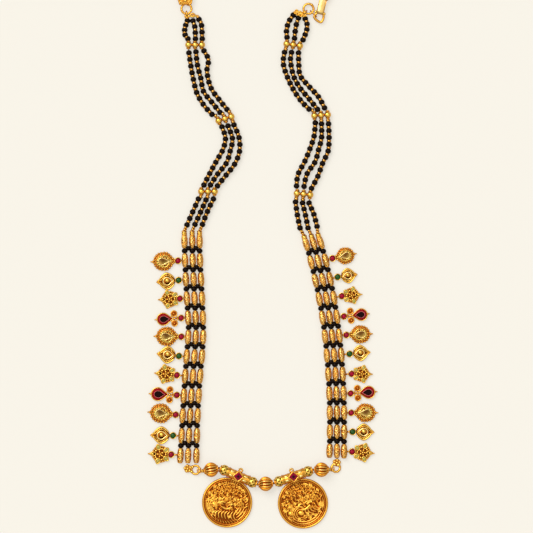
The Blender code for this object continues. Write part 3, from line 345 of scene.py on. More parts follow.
def full_turn(count):
    """Even angles once round."""
    return np.arange(count) / count * 2 * np.pi


def around(radius, height, angles):
    """Places round Z at the angles; the radius and the height are one value or one for each angle."""
    heights = np.broadcast_to(height, angles.shape)
    return np.stack([radius * np.cos(angles), radius * np.sin(angles), heights], -1)


def circle(radius, count):
    return around(radius, 0.0, full_turn(count))


def sheet_faces(rows, columns, wrap_rows=False, wrap_columns=False):
    """Quads over points numbered row by row."""
    down, along = np.arange(rows - (not wrap_rows)), np.arange(columns - (not wrap_columns))
    i, j = np.meshgrid(down, along, indexing="ij")
    up, across = (i + 1) % rows, (j + 1) % columns
    corners = [i * columns + j, up * columns + j, up * columns + across, i * columns + across]
    return np.stack(corners, -1).reshape(-1, 4)


def rings_form(rings, first=None, last=None, light=None):
    """A closed skin over rings of equal count, shut by a pole at each end."""
    rings = np.asarray(rings, float)
    count, sides = rings.shape[:2]
    poles = [rings[0].mean(0) if first is None else first, rings[-1].mean(0) if last is None else last]
    k = np.arange(sides)
    after, base, pole = (k + 1) % sides, (count - 1) * sides, np.full(sides, count * sides)
    ends = [(pole, k, after), (base + after, base + k, pole + 1)]
    tris = np.concatenate([np.stack(corners, -1) for corners in ends])
    if light is not None:
        light = np.concatenate([light.ravel(), [light[0].mean(), light[-1].mean()]])
    verts = np.concatenate([rings.reshape(-1, 3), poles])
    return Form(verts, sheet_faces(count, sides, wrap_columns=True), tris, light).outward()


def turned(profile, sides):
    """A turned body about Z from (radius, height) pairs, shut at both ends."""
    rings = [around(radius, height, full_turn(sides)) for radius, height in profile if radius > 0]
    return rings_form(rings, (0, 0, profile[0][1]), (0, 0, profile[-1][1]))


def bored(profile, sides):
    """A turned body whose closed profile does not reach its axis."""
    rings = [around(radius, height, full_turn(sides)) for radius, height in profile]
    return Form(rings, sheet_faces(len(profile), sides, True, True)).outward()


def ball(radius, sides=10, rings=6, flatten=1.0):
    steps = np.pi * (np.arange(rings) + 0.5) / rings
    profile = [(radius * math.sin(a), radius * flatten * math.cos(a)) for a in steps]
    return turned([(0, radius * flatten), *profile, (0, -radius * flatten)], sides)


def wire(path, radius, sides=8, closed=False, height=1.0):
    """A wire along a path of points, with one radius or one for each point."""
    path = np.asarray(path, float)
    tangents = np.roll(path, -1, 0) - np.roll(path, 1, 0) if closed else np.gradient(path, axis=0)
    tangents /= np.linalg.norm(tangents, axis=1)[:, None]
    normal = np.cross(X if abs(tangents[0][2]) > 0.9 else Z, tangents[0])
    cos, sin = np.cos(full_turn(sides)), np.sin(full_turn(sides))
    rings = []
    for spot, tangent, size in zip(path, tangents, np.broadcast_to(radius, len(path))):
        normal = unit(normal - tangent * (normal @ tangent))
        over = np.cross(tangent, normal)
        rings.append(spot + size * (np.outer(cos, normal) + height * np.outer(sin, over)))
    if closed:
        return Form(rings, sheet_faces(len(path), sides, True, True)).outward()
    return rings_form(rings)


def heading(degrees):
    angle = math.radians(degrees)
    return np.array([math.cos(angle), math.sin(angle), 0])


def placed(place, turn=0.0):
    """A matrix that turns by degrees about Z and moves to the place."""
    return np.array(Matrix.Translation(Vector(place)) @ Matrix.Rotation(math.radians(turn), 4, "Z"))


def aimed(place, direction, roll=0.0):
    """A matrix that points local Z along the direction at the place."""
    turn = Vector(direction).to_track_quat("Z", "Y").to_matrix().to_4x4()
    return np.array(Matrix.Translation(Vector(place)) @ turn @ Matrix.Rotation(roll, 4, "Z"))


# Routes


def smooth(points, per_stretch=60):
    """A dense polyline on one smooth curve through the points."""
    points = np.asarray(points, float)
    ends = np.concatenate([[points[0] * 2 - points[1]], points, [points[-1] * 2 - points[-2]]])
    t = (np.arange(per_stretch) / per_stretch)[:, None]
    dense = []
    for before, start, end, after in zip(ends, ends[1:], ends[2:], ends[3:]):
        bend = before * 2 - start * 5 + end * 4 - after
        twist = start * 3 - before - end * 3 + after
        dense.append((start * 2 + (end - before) * t + bend * t**2 + twist * t**3) / 2)
    return np.concatenate([*dense, [points[-1]]])


def plan(points, height=0.0):
    """Plan points, or a single one, at a height."""
    points = np.asarray(points, float)
    return np.concatenate([points, np.full((*points.shape[:-1], 1), height)], -1)


class Route:
    """A polyline that can be asked for the point and the direction at a distance along it."""

    def __init__(self, points):
        self.points = np.asarray(points, float)
        steps = np.linalg.norm(np.diff(self.points, axis=0), axis=1)
        self.at = np.concatenate([[0], np.cumsum(steps)])
        self.length = self.at[-1]

    def spot(self, distance):
        return np.stack([np.interp(distance, self.at, self.points[:, k]) for k in range(3)], -1)

    def spots(self, count):
        """Evenly spaced places from end to end."""
        return self.spot(np.linspace(0, self.length, count))

    def direction(self, distance):
        step = self.length * 0.002 + 0.01
        return unit(self.spot(min(distance + step, self.length)) - self.spot(max(distance - step, 0)))

    def frame(self, distance, roll=0.0):
        return aimed(self.spot(distance), self.direction(distance), roll)


def column_route(side, number):
    return Route(smooth(plan(COLUMN_ROUTES[side][number], BARREL_HEIGHT)))


def spacer_ball(side, row, number):
    """The middle of one strand's ball, and the direction of its bore."""
    middle, turn = SPACER_PLACES[side][row]
    return plan(middle, BALL_RADIUS) + heading(turn) * SPACER_PITCH * (number - 1), heading(turn + 90)


# Finishes. Grains are waves of noise for each metre.

SKIN_GRAIN = 2500
CLOUD_GRAIN = 700


def span(tree, source, low, high, to_low=0.0, to_high=1.0):
    """A node that carries a value from one range to another."""
    made = tree.nodes.new("ShaderNodeMapRange")
    for socket, value in (("From Min", low), ("From Max", high), ("To Min", to_low), ("To Max", to_high)):
        made.inputs[socket].default_value = value
    tree.links.new(source, made.inputs["Value"])
    return made.outputs["Result"]


def mixed(tree, share, first, second, way="MIX"):
    """A node that mixes two colours; each is a colour or another node's output."""
    made = tree.nodes.new("ShaderNodeMixRGB")
    made.blend_type = way
    for socket, value in (("Fac", share), ("Color1", first), ("Color2", second)):
        if isinstance(value, tuple):
            made.inputs[socket].default_value = (*value, 1)
        elif isinstance(value, float):
            made.inputs[socket].default_value = value
        else:
            tree.links.new(value, made.inputs[socket])
    return made.outputs["Color"]


def noise(tree, where, scale, detail):
    """A noise texture's outputs, over places given in metres."""
    made = tree.nodes.new("ShaderNodeTexNoise")
    made.inputs["Scale"].default_value = scale
    made.inputs["Detail"].default_value = detail
    tree.links.new(where, made.inputs["Vector"])
    return made.outputs


def new_material(name, colour):
    """A material, its shader, the place on the object, and the light that each vertex carries."""
    made = bpy.data.materials.new(name)
    made.use_nodes = True
    made.diffuse_color = (*colour, 1)
    tree = made.node_tree
    where = tree.nodes.new("ShaderNodeTexCoord").outputs["Object"]
    light = tree.nodes.new("ShaderNodeAttribute")
    light.attribute_name = "light"
    return made, tree, tree.nodes["Principled BSDF"], where, light.outputs["Fac"]


def gold(
    name, colour, shade_colour, rough=0.24, grain=0.25, bump=0.04, patch=(0.93, 0.82, 0.62), patches=550, tip=None
):
    """Gold whose colour follows the painted light of each vertex: painted shade in brown hollows and redder
    flanks, painted highlights at paler tips; with worn patches and a fine cast skin.
    """
    made, tree, shader, where, light = new_material(name, colour)
    shader.inputs["Metallic"].default_value = 1.0
    aged = tuple(part * share for part, share in zip(colour, patch))
    flank_shade = tuple(0.85 * part**2 for part in colour)
    worn = mixed(tree, span(tree, noise(tree, where, patches, 4)["Fac"], 0.38, 0.66), colour, aged)
    # Painted shade: the deep colour at the lowest light, the redder flank colour a little higher
    low = mixed(tree, span(tree, light, 0.0, 0.45), shade_colour, flank_shade)
    body = mixed(tree, span(tree, light, 0.45, 1.0), low, worn)
    # Painted highlights: the tip colour where the light rises above 1
    body = mixed(tree, span(tree, light, 1.0, 1.4), body, colour if tip is None else tip)
    tree.links.new(body, shader.inputs["Base Color"])
    skin = noise(tree, where, SKIN_GRAIN, 3)["Fac"]
    roughness = span(tree, skin, 0.0, 1.0, rough * (1 - grain), rough * (1 + grain))
    tree.links.new(roughness, shader.inputs["Roughness"])
    relief = tree.nodes.new("ShaderNodeBump")
    relief.inputs["Strength"].default_value = bump
    relief.inputs["Distance"].default_value = 0.2 * MM
    tree.links.new(skin, relief.inputs["Height"])
    tree.links.new(relief.outputs["Normal"], shader.inputs["Normal"])
    return made


def glassy(name, colour, shade_colour, rough, specular):
    """Polished glass or stone as a glossy body, going to its dark colour where the vertex light paints
    shade and dark reflections, with faint cloudy patches.
    """
    made, tree, shader, where, light = new_material(name, colour)
    shader.inputs["IOR"].default_value = 1.55
    shader.inputs["Specular IOR Level"].default_value = specular
    cloud = noise(tree, where, CLOUD_GRAIN, 2)
    body = mixed(tree, 0.35, mixed(tree, light, shade_colour, colour), cloud["Color"], "MULTIPLY")
    tree.links.new(body, shader.inputs["Base Color"])
    tree.links.new(span(tree, cloud["Fac"], 0.0, 1.0, rough * 0.7, rough * 1.5), shader.inputs["Roughness"])
    return made


def paper_floor():
    made = bpy.data.materials.new("floor")
    made.use_nodes = True
    inputs = made.node_tree.nodes["Principled BSDF"].inputs
    inputs["Base Color"].default_value = (0.3, 0.298, 0.285, 1)
    inputs["Emission Color"].default_value = (1.0, 0.955, 0.85, 1)
    inputs["Emission Strength"].default_value = 0.583
    inputs["Roughness"].default_value = 0.8
    inputs["Specular IOR Level"].default_value = 0.2
    return made


# Colour where lit, colour of the painted shade, and what differs from the usual finish; a tip is the colour
# of painted highlights
GOLDS = {
    "gold": ((0.84, 0.463, 0.072), (0.13, 0.026, 0.003), {}),
    "filigree": (
        (0.79, 0.455, 0.092), (0.17, 0.042, 0.006),
        {"rough": 0.3, "bump": 0.08, "patch": (0.78, 0.55, 0.4), "patches": 1100, "tip": (1.0, 0.86, 0.36)},
    ),
    "relief": (
        (0.81, 0.42, 0.055), (0.19, 0.04, 0.004), {"rough": 0.25, "bump": 0.05, "tip": (1.0, 0.72, 0.19)},
    ),
    "ribbed": (
        (0.86, 0.45, 0.06), (0.13, 0.024, 0.003), {"rough": 0.22, "bump": 0.03, "tip": (1.0, 0.74, 0.26)},
    ),
    "bright": ((0.92, 0.6, 0.12), (0.16, 0.04, 0.005), {"rough": 0.2}),
    "seed": ((0.64, 0.34, 0.068), (0.08, 0.018, 0.003), {"rough": 0.26}),
    "polished": ((0.89, 0.67, 0.27), (0.45, 0.22, 0.05), {"rough": 0.3, "grain": 0.1, "bump": 0.01}),
    "pale": ((1.0, 0.82, 0.36), (0.3, 0.13, 0.02), {"rough": 0.2}),
    "lime": ((0.95, 0.8, 0.2), (0.2, 0.1, 0.01), {"rough": 0.22}),
    "russet": ((0.5, 0.16, 0.02), (0.12, 0.028, 0.004), {"rough": 0.4}),
    "dark": ((0.2, 0.042, 0.005), (0.06, 0.012, 0.002), {"rough": 0.5}),
    "pit": ((0.035, 0.01, 0.004), (0.01, 0.004, 0.002), {"rough": 0.5}),
    "speckled": ((0.92, 0.68, 0.18), (0.02, 0.012, 0.006), {"rough": 0.36}),
}
# Stones in the same order: colour where lit, colour of their painted shade and dark reflections
STONES = {
    "rose": ((0.85, 0.22, 0.2), (0.5, 0.05, 0.06), {"rough": 0.15, "specular": 0.3}),
    "garnet": ((0.44, 0.002, 0.05), (0.02, 0.0, 0.005), {"rough": 0.12, "specular": 0.1}),
    "black": ((0.008, 0.0036, 0.0024), (0.003, 0.0015, 0.001), {"rough": 0.2, "specular": 0.05}),
    "ruby": ((0.5, 0.008, 0.038), (0.1, 0.0, 0.012), {"rough": 0.12, "specular": 0.08}),
    "ruby_drop": ((0.46, 0.008, 0.014), (0.012, 0.0005, 0.001), {"rough": 0.12, "specular": 0.05}),
    "emerald": ((0.016, 0.13, 0.012), (0.002, 0.025, 0.002), {"rough": 0.12, "specular": 0.2}),
    "polki": ((0.62, 0.42, 0.1), (0.12, 0.035, 0.005), {"rough": 0.14, "specular": 0.03}),
    "peridot": ((0.74, 0.68, 0.16), (0.3, 0.22, 0.03), {"rough": 0.14, "specular": 0.4}),
}
MATERIALS = {}
for kind, finishes in ((gold, GOLDS), (glassy, STONES)):
    for name, (colour, shade_colour, more) in finishes.items():
        MATERIALS[name] = kind(name, colour, shade_colour, **more)
# How strong the painted shade on the steep sides is, where a finish differs from cast gold
SIDE_SHADE = dict.fromkeys(STONES, 0) | {
    "filigree": 0.36, "relief": 0.45, "speckled": 0.5, "polished": 0.3, "bright": 0.95, "seed": 1.0,
}


# Small forms that repeat


def bead_form(radius, half, sides=14, rings=9, hole=0.22):
    """A round bead with its thread holes pressed in at both ends."""
    steps = np.linspace(0.0, np.pi, rings)
    profile = [(max(radius * math.sin(a) ** 0.82, radius * hole), half * math.cos(a)) for a in steps]
    return turned([(0, half * 0.78), *profile, (0, -half * 0.78)], sides)


def collar_form(radius, half, sides=12):
    """A small round-edged collar round Z, shut across its hole."""
    steps = np.linspace(0.15, np.pi - 0.15, 5)
    profile = [(radius * (0.72 + 0.28 * math.sin(a)), half * math.cos(a)) for a in steps]
    return turned([(0, half), *profile, (0, -half)], sides)


def twisted_ring(radius, thick, turns, sides=36, swell=0.22):
    """A ring of wire round Z whose skin swells with its twist."""
    skin = thick * (1 + swell * np.cos(turns * full_turn(sides)))
    return wire(circle(radius, sides), skin, 6, closed=True)


def barrel_form(sides=40, rows=41, cells_round=6, cells_along=3.5):
    """A filigree barrel round Z, 1 long: an uneven lattice of worn wires over gaps, between collars."""
    share = np.linspace(0, 1, rows)
    belly = np.sin(np.pi * np.clip((share - 0.02) / 0.96, 0, 1)) ** 0.6
    collar = (share < 0.06) | (share > 0.94)
    radius = BARREL_RADIUS * np.where(collar, 0.68, 0.7 + 0.38 * belly)
    v, u = np.meshgrid(share, np.arange(sides) / sides, indexing="ij")
    sway = 0.2 * np.sin(2 * np.pi * (2 * u + 3.3 * v)) + 0.14 * np.sin(2 * np.pi * (3 * u - 5.2 * v))
    first = np.abs((u * cells_round + v * cells_along + sway) % 1 - 0.5) * 2
    second = np.abs((u * cells_round - v * cells_along + sway) % 1 - 0.5) * 2
    chance = np.random.default_rng(5)
    grain = chance.random((rows, sides))
    pinhole = chance.random((rows // 2 + 1, sides // 2)).repeat(2, 0)[:rows].repeat(2, 1) > 0.95
    gap = np.maximum(np.clip((0.5 - np.maximum(first, second)) / 0.24, 0, 1), pinhole * 1.25)
    crossing = np.clip((np.minimum(first, second) - 0.55) / 0.3, 0, 1)
    body = ~collar[:, None]
    skin = radius[:, None] + np.where(body, crossing * 0.12 - gap * 0.22, 0)
    # Painted light: shade in the gaps and pinholes, highlights where the wires cross, with random grain
    light = np.where(body, 1 + 0.3 * crossing - gap * 0.72 + (grain - 0.5) * 0.6, 0.8)
    return rings_form(around(skin, v - 0.5, 2 * np.pi * u), light=light)


def rope(piece, start, end, spread, thick, turns=1.1, finish="gold"):
    """Two wires twisted round each other between two places."""
    steps = np.linspace(0, 1, 15)
    across = unit(np.cross(end - start, Z))
    over = unit(np.cross(across, end - start))
    for turn in (0.0, np.pi):
        angle = turn + steps * turns * 2 * np.pi
        swing = np.outer(np.cos(angle), across) + np.outer(np.sin(angle), over)
        piece.wire(start + np.outer(steps, end - start) + swing * spread, thick, finish)


# The strings: black strands with spacers, and barrel columns

BLACK_BEAD = bead_form(BEAD_RADIUS * 1.09, 1.36)
BLACK_BEAD_REACH = 1.22
SEED = collar_form(1.15, 0.6)
BAND_BEAD = bead_form(COLUMN_BEAD_RADIUS * 1.04, 1.3, sides=16)
PEAK_BEAD = bead_form(1.25, 1.15, sides=12, rings=7)


def seeds_by_spacer(piece, place, bore, beads):
    """A gold seed bead in each wide enough gap between a spacer's collar and the black bead beyond it."""
    for way, bead in zip((1, -1), beads):
        collar_end = place + bore * way * (BALL_RADIUS + 0.6)
        run = bead - collar_end
        reach = np.linalg.norm(run)
        if reach - BLACK_BEAD_REACH > 0.6:
            middle = collar_end + run * (reach - BLACK_BEAD_REACH) / 2 / reach
            piece.add(SEED, "seed", at=aimed(middle, run))


def strand_piece(side, number):
    """Black beads and gold seed beads on their thread, from the fork to the barrel column."""
    piece = Piece(f"beads_{side}_{number + 1}")
    node = f"strand_{side}_{number + 1}"
    stretches = STRAND_ROUTES[side][number]
    thread = []
    for row, stretch in enumerate(stretches):
        route = Route(smooth(plan(stretch, BEAD_HEIGHT)))
        count = BEAD_COUNTS[side][number][row]
        pitch = route.length / (count - 1)
        for i in range(count):
            piece.add(BLACK_BEAD, "black", at=route.frame(pitch * i, roll=i * 0.7))
            if i < count - 1:
                piece.add(SEED, "seed", at=route.frame(pitch * (i + 0.5)))
        thread += [*route.spots(25)]
        if row < 3:
            place, bore = spacer_ball(side, row, number)
            seeds_by_spacer(piece, place, bore, (thread[-1], plan(stretches[row + 1][0], BEAD_HEIGHT)))
            thread += [place + bore * way * (BALL_RADIUS + 0.5) for way in (1, -1)]
    column = column_route(side, number)
    last, end = thread[-1], column.spot(0) - column.direction(0) * 0.3
    rope(piece, last + (end - last) * 0.25, end, 0.55, 0.42)
    start, top = thread[0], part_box(node)[1][1]
    first = np.array([start[0], (top - SHIFT[1]) / MM - 0.2, start[2]])
    if np.linalg.norm(first - start) > 1.8:
        for share in (0.45, 0.8):
            piece.add(SEED, "seed", at=aimed(start + (first - start) * share, first - start))
    piece.wire([first, *thread, end - unit(end - last) * 0.2], 0.2, "dark", 6)
    piece.make(node)


def spacer_piece(side, row):
    """Three bright balls on a bar, with a twisted and a plain collar at each end of every bore."""
    piece = Piece(f"spacer_balls_{side}_{row + 1}")
    globe = bead_form(BALL_RADIUS, BALL_RADIUS * 0.94, 24, 15, 0.3)
    for number in range(3):
        place, bore = spacer_ball(side, row, number)
        piece.add(globe, "bright", at=aimed(place, bore))
        for way in (-1, 1):
            spot = place + bore * way * (BALL_RADIUS * 0.94 + 0.1)
            piece.twist(aimed(spot, bore), 0.85, 0.26, 9)
            piece.add(collar_form(0.7, 0.25), at=aimed(spot + bore * way * 0.35, bore))
    first, last = (spacer_ball(side, row, number)[0] for number in (0, 2))
    reach = unit(last - first) * (BALL_RADIUS + 0.1) * 0.8
    piece.wire([first - reach - Z * 0.6, last + reach - Z * 0.6], 0.55)
    piece.make(f"spacer_{side}_{row + 1}")


def black_beads(piece, side, number, route, at):
    """The black bead after a barrel, and the one that shows between it and the middle column."""
    spot, way = route.spot(at), route.direction(at)
    piece.add(BAND_BEAD, "black", at=aimed(spot, way))
    if number != 1:
        middle = column_route(side, 1)
        beside = middle.spot(middle.length * at / route.length)
        place = (spot + beside) / 2 - way * 1.3
        place[2] = BARREL_HEIGHT + 0.6
        piece.add(PEAK_BEAD, "black", at=aimed(place, beside - spot))


def column_piece(side, number):
    """Filigree barrels with black beads between them, tied to their strand at the top."""
    piece = Piece(f"barrels_{side}_{number + 1}")
    route, drop = column_route(side, number), COLUMN_DROP[side]
    shares = np.arange(BARRELS + 1) / BARRELS
    run = route.length - drop + COLUMN_BEAD_LENGTH
    starts = drop + run * (shares + COLUMN_EASE[side] * shares * (shares - 1))
    ends = starts[1:] - COLUMN_BEAD_LENGTH
    starts[0] += TOP_TIE
    barrel = barrel_form()
    for i, (start, end) in enumerate(zip(starts, ends)):
        first, last = route.spot(start), route.spot(end)
        way = last - first
        stretch = np.diag([1, 1, (end - start) * 0.97, 1])
        piece.add(barrel, "filigree", at=aimed((first + last) / 2, way, 0.35 * i + number) @ stretch)
        for spot in (first + unit(way) * 0.45, last - unit(way) * 0.45):
            piece.twist(aimed(spot, way), BARREL_RADIUS * 0.62, 0.22, 10)
        if i < BARRELS - 1:
            black_beads(piece, side, number, route, end + COLUMN_BEAD_LENGTH / 2)
    tie_end = route.spot(drop + TOP_TIE + 0.6)
    rope(piece, route.spot(0) - route.direction(0) * 0.2, tie_end, 0.9, 0.5, 1.2, "bright")
    piece.twist(aimed(route.spot(drop * 0.75), route.direction(0)), 0.9, 0.4, 8)
    piece.wire(route.spots(61), 0.3, "dark", 6)
    piece.make(f"column_{side}_{number + 1}")


# Stones and their settings


def cut_stone(outline, girdle, table, table_share=0.5, mid_share=0.8, depth=0.6):
    """A stone with a flat table, a crown of facets and a shut underside, over an even outline."""
    count, half = len(outline), len(outline) // 2
    middle = outline.mean(0) * (1, 1, 0)
    edge = outline + Z * girdle
    mids = middle + (outline[0::2] - middle) * mid_share + Z * (girdle + (table - girdle) * 0.62)
    tables = middle + (outline[1::2] - middle) * table_share + Z * table
    base = middle + (outline - middle) * 0.9 + Z * (girdle - depth)
    poles = [middle + Z * table, middle + Z * (girdle - depth)]
    mid, top, low, peak, root = count, count + half, 2 * count, 3 * count, 3 * count + 1
    quads, tris = [], []
    for k in range(half):
        after = (k + 1) % half
        quads.append((mid + k, 2 * k + 1, mid + after, top + k))
        tris += [
            (top + (k - 1) % half, mid + k, top + k), (top + k, peak, top + after),
            (2 * k, 2 * k + 1, mid + k), (2 * k + 1, (2 * k + 2) % count, mid + after),
        ]
    for k in range(count):
        after = (k + 1) % count
        quads.append((k, low + k, low + after, after))
        tris.append((low + after, low + k, root))
    # Painted light on the stone: crown facets lit, the table and underside darker, as reflections
    light = np.repeat([0.75, 1.0, 0.35, 0.2, 0.1], [count, half, half, count, 2])
    return Form(np.concatenate([edge, mids, tables, base, poles]), quads, tris, light)


def dome(outline, base, height, rings=6, edge_light=1.0, top_light=0.2):
    """A smooth cabochon over an outline, with painted light going from its edge to its top."""
    middle = outline.mean(0)
    levels, shade = [middle + (outline - middle) * 0.98 + Z * (base - 0.4)], [edge_light]
    for k in range(rings):
        share = math.cos(math.pi / 2 * k / rings)
        levels.append(middle + (outline - middle) * share + Z * (base + height * math.sqrt(1 - share**2)))
        shade.append(edge_light + (top_light - edge_light) * (1 - share) ** 0.6)
    light = np.repeat(np.array(shade)[:, None], len(outline), 1)
    return rings_form(levels, last=middle + Z * (base + height), light=light)


def inset(outline, distance):
    """The outline moved inward by a distance."""
    way = np.roll(outline, -1, 0) - np.roll(outline, 1, 0)
    way /= np.linalg.norm(way, axis=1)[:, None]
    inward = np.stack([-way[:, 1], way[:, 0], np.zeros(len(way))], -1)
    if ((outline.mean(0) - outline) * inward).sum() < 0:
        inward = -inward
    return outline + inward * distance


def plate(outline, levels):
    """A closed plate over an outline, with (height, inset) levels from the bottom up."""
    return rings_form([inset(outline, inward) + Z * height for height, inward in levels])


def evened(outline, count):
    """The closed outline again, with evenly spaced points."""
    return Route([*outline, outline[0]]).spots(count + 1)[:-1]


def pear(length, width, start, count=48):
    """A pear in plan, pointed at its start."""
    radius = width / 2
    middle = start + length - radius
    lean = math.asin(min(0.98, radius / (middle - start)))
    arc = around(radius, 0.0, np.linspace(-math.pi / 2 - lean, math.pi / 2 + lean, 40)) + X * middle
    return evened([X * start, *arc], count)


def full_pear(length, width, start, count):
    """The same pear with its two straight flanks bowed out, most of all near its point."""
    outline = pear(length, width, start, count)
    share = np.clip((outline[:, 0] - start) / (length - width / 2), 0, 1)
    outline[:, 1] *= (1.06 / (0.06 + share)) ** 0.32
    return evened(outline, count)


def oval(x, y, half_x, half_y, turn=0.0, count=20):
    points = circle(1.0, count) * (half_x, half_y, 0)
    return points @ placed((0, 0, 0), turn)[:3, :3].T + (x, y, 0)


def granules(piece, spots, radius, height, finish="gold", sides=9, rings=6):
    globe = ball(radius, sides, rings)
    for spot in spots:
        piece.add(globe, finish, at=placed((spot[0], spot[1], height)))


def rim(piece, outline, height, thick, finish, tall=1.0):
    piece.wire(outline + Z * height, thick, finish, closed=True, height=tall)


def stroke(piece, points, thick, height, finish="gold", ends=0.25, count=14):
    """A tapered raised stroke along a smooth curve through plan points."""
    spots = Route(smooth(plan(np.array(points)[:, :2], height), 20)).spots(count)
    swell = np.sin(np.pi * np.linspace(0.03, 0.97, count)) ** 0.6
    piece.wire(spots, thick * (ends + (1 - ends) * swell), finish)


def tip_granules(piece, start, size):
    """The ball and point at a dangle's outer end."""
    piece.ball((start + 0.2, 0, 0.9), 0.62 * size)
    piece.twist(aimed((start - 0.4, 0, 0.9), X), 0.42, 0.16, 7, sides=20)
    piece.ball((start + 0.2 + 0.85 * size, 0, 0.9), 0.38 * size, "bright", 10, 6)


def round_setting(piece, stone):
    """The stone beside the column: a bright rim round a domed stone, over a granulated foot."""
    piece.add(plate(circle(BEZEL_RADIUS * 0.93, 28), [(0.0, 0.2), (0.2, 0), (1.0, 0), (1.2, 0.2)]))
    profile = ((0.7, 1.1), (1.0, 1.1), (1.06, 1.4), (1.04, 1.68), (0.98, 1.78), (0.88, 1.8), (0.81, 1.5))
    piece.add(bored([(BEZEL_RADIUS * share, height) for share, height in profile], 32), "bright")
    granules(piece, circle(BEZEL_RADIUS * 0.93, 16), 0.24, 0.85, sides=6, rings=4)
    # The stone's painted light: dark at its edge, lit at its top
    piece.add(dome(circle(BEZEL_RADIUS * 0.82, 24), 1.4, 0.75, edge_light=-0.1, top_light=0.95), stone)


# The four kinds of side dangle, drawn with the stone at the origin and the tip towards +X.
# Down says on which side the dangle's own shade lies. Each gives back where its tip starts.


def ground_plate(piece, outline, inset_by=0.25, top=0.8, finish="dark"):
    """The darker plate under a dangle's granules and strokes, painted as the shade in the gaps between
    them.
    """
    levels = [(0.2, inset_by + 0.3), (0.5, inset_by), (top, inset_by), (top + 0.1, inset_by + 0.2)]
    piece.add(plate(outline, levels), finish)


def pear_body(piece, size, down):
    """A pale pear stone in a lime rim, ray strokes and two rows of granules."""
    start = BEZEL_RADIUS * 0.75
    outer = full_pear(11.6 * size, 9.8 * size, start, 60)
    ground_plate(piece, outer, finish="russet")
    ground_plate(piece, inset(outer, 2 * size), 0, 0.9)
    granules(piece, evened(inset(outer, 0.5 * size), 21), 0.6 * size, 1.15, "gold", 10, 7)
    granules(piece, evened(inset(outer, 1.6 * size), 17), 0.46 * size, 1.35, "bright", 8, 6)
    rim(piece, inset(outer, 2.2 * size), 1.2, 0.24 * size, "lime")
    for bearing in (-72, -43, -14, 14, 43, 72):
        ray = [X * (start + 6.7 * size) + heading(bearing) * reach * size for reach in (2.0, 2.45, 2.9)]
        stroke(piece, ray, 0.36 * size, 1.5, "lime", 0.5, count=7)
    stone_start = start + 2.9 * size
    for way in (-1, 1):
        for share in (0.0, 0.3, 0.62):
            x = stone_start + (0.8 + share * 4.6) * size
            y = way * (0.6 + share * 1.8) * size
            ends = [(x - 0.5 * size, y + way * 0.2 * size), (x + 0.5 * size, y + way * 0.9 * size)]
            stroke(piece, ends, 0.3 * size, 1.4, "bright", 0.4, count=6)
    stone = pear(5.8 * size, 3.4 * size, stone_start, 20)
    rim(piece, inset(stone, -0.1), 1.7, 0.26 * size, "pale", 1.2)
    gem = cut_stone(stone, 1.7, 2.4)
    # Painted shade: the stone darker on its down side
    gem.light = gem.light * np.clip(0.8 + gem.verts[:, 1] * down / (1.4 * size), 0.1, 1.1)
    piece.add(gem, "polki", flat=True)
    granules(piece, [(start + 1.4 * size, 0)], 0.45 * size, 1.3, "bright")
    granules(piece, [(start + 0.7, way * 0.9) for way in (-1, 1)], 0.45, 1.1)
    granules(piece, [(start + 1.5 * size, way * 1.5 * size) for way in (-1, 1)], 0.48, 1.2, "bright")
    return start + 11.6 * size


def leaf_body(piece, size, down):
    """Two nested lozenges of strokes round a ball in a pear-shaped hollow."""
    start = BEZEL_RADIUS * 0.75
    middle, tip, edge = start + 4.4 * size, start + 8.6 * size, 4.2

    def edge_spot(angle, reach):
        """A place on a rounded lozenge about the middle."""
        x, y, _ = heading(angle)
        pinch = (abs(x) ** 1.4 + abs(y) ** 1.4) ** (-1 / 1.4) * reach * size
        return middle + x * pinch * 1.05, y * pinch

    ground_plate(piece, evened(plan([edge_spot(angle, edge) for angle in range(0, 360, 6)]), 48), 0.15)
    for way in (-1, 1):
        for reach, thick, rise, first_bearing, finish in (
            (0.96 * edge, 0.52, 1.1, 158, "bright"), (0.73 * edge, 0.3, 1.4, 140, "gold"),
        ):
            points = [edge_spot(way * angle, reach) for angle in np.linspace(first_bearing, 18, 7)]
            points.append((tip - 0.2, way * 0.4 * size))
            stroke(piece, points, thick * size, rise, finish, 0.45, count=18)
        granules(piece, [edge_spot(way * angle, 3.5) for angle in (55, 88, 122)], 0.3 * size, 1.5, "pale")
        curve = [(start + x * size, way * y * size) for x, y in ((0.9, 0.2), (2.0, 1.2), (2.8, 2.4))]
        stroke(piece, curve, 0.36 * size, 1.4, "gold", 0.3)
        corner = [(tip - 0.4 * size, way * 1.2 * size), (tip + 0.9 * size, way * 0.1 * size)]
        stroke(piece, corner, 0.4 * size, 0.9, "gold", 0.5)
    bezel = pear(5.1 * size, 4.1 * size, middle - 2.9 * size, 32)
    piece.add(plate(bezel, [(0.6, 0), (1.4, 0), (1.5, 0.2)]), "russet")
    rim(piece, inset(bezel, 0.12 * size), 1.7, 0.36 * size, "pale", 1.2)
    # A near-black oval on the down side of the ball: its painted shadow
    shade = oval(middle - 0.1 * size, down * 0.5 * size, 1.3 * size, 1.1 * size)
    piece.add(plate(shade, [(1.3, 0), (1.6, 0), (1.63, 0.1)]), "pit")
    piece.add(ball(1.25 * size, 20, 12, 0.85), "bright", at=placed((middle, -down * 0.4 * size, 1.6)))
    granules(piece, [(start + 1.2 * size, 0)], 0.4 * size, 1.4, "bright")
    return tip


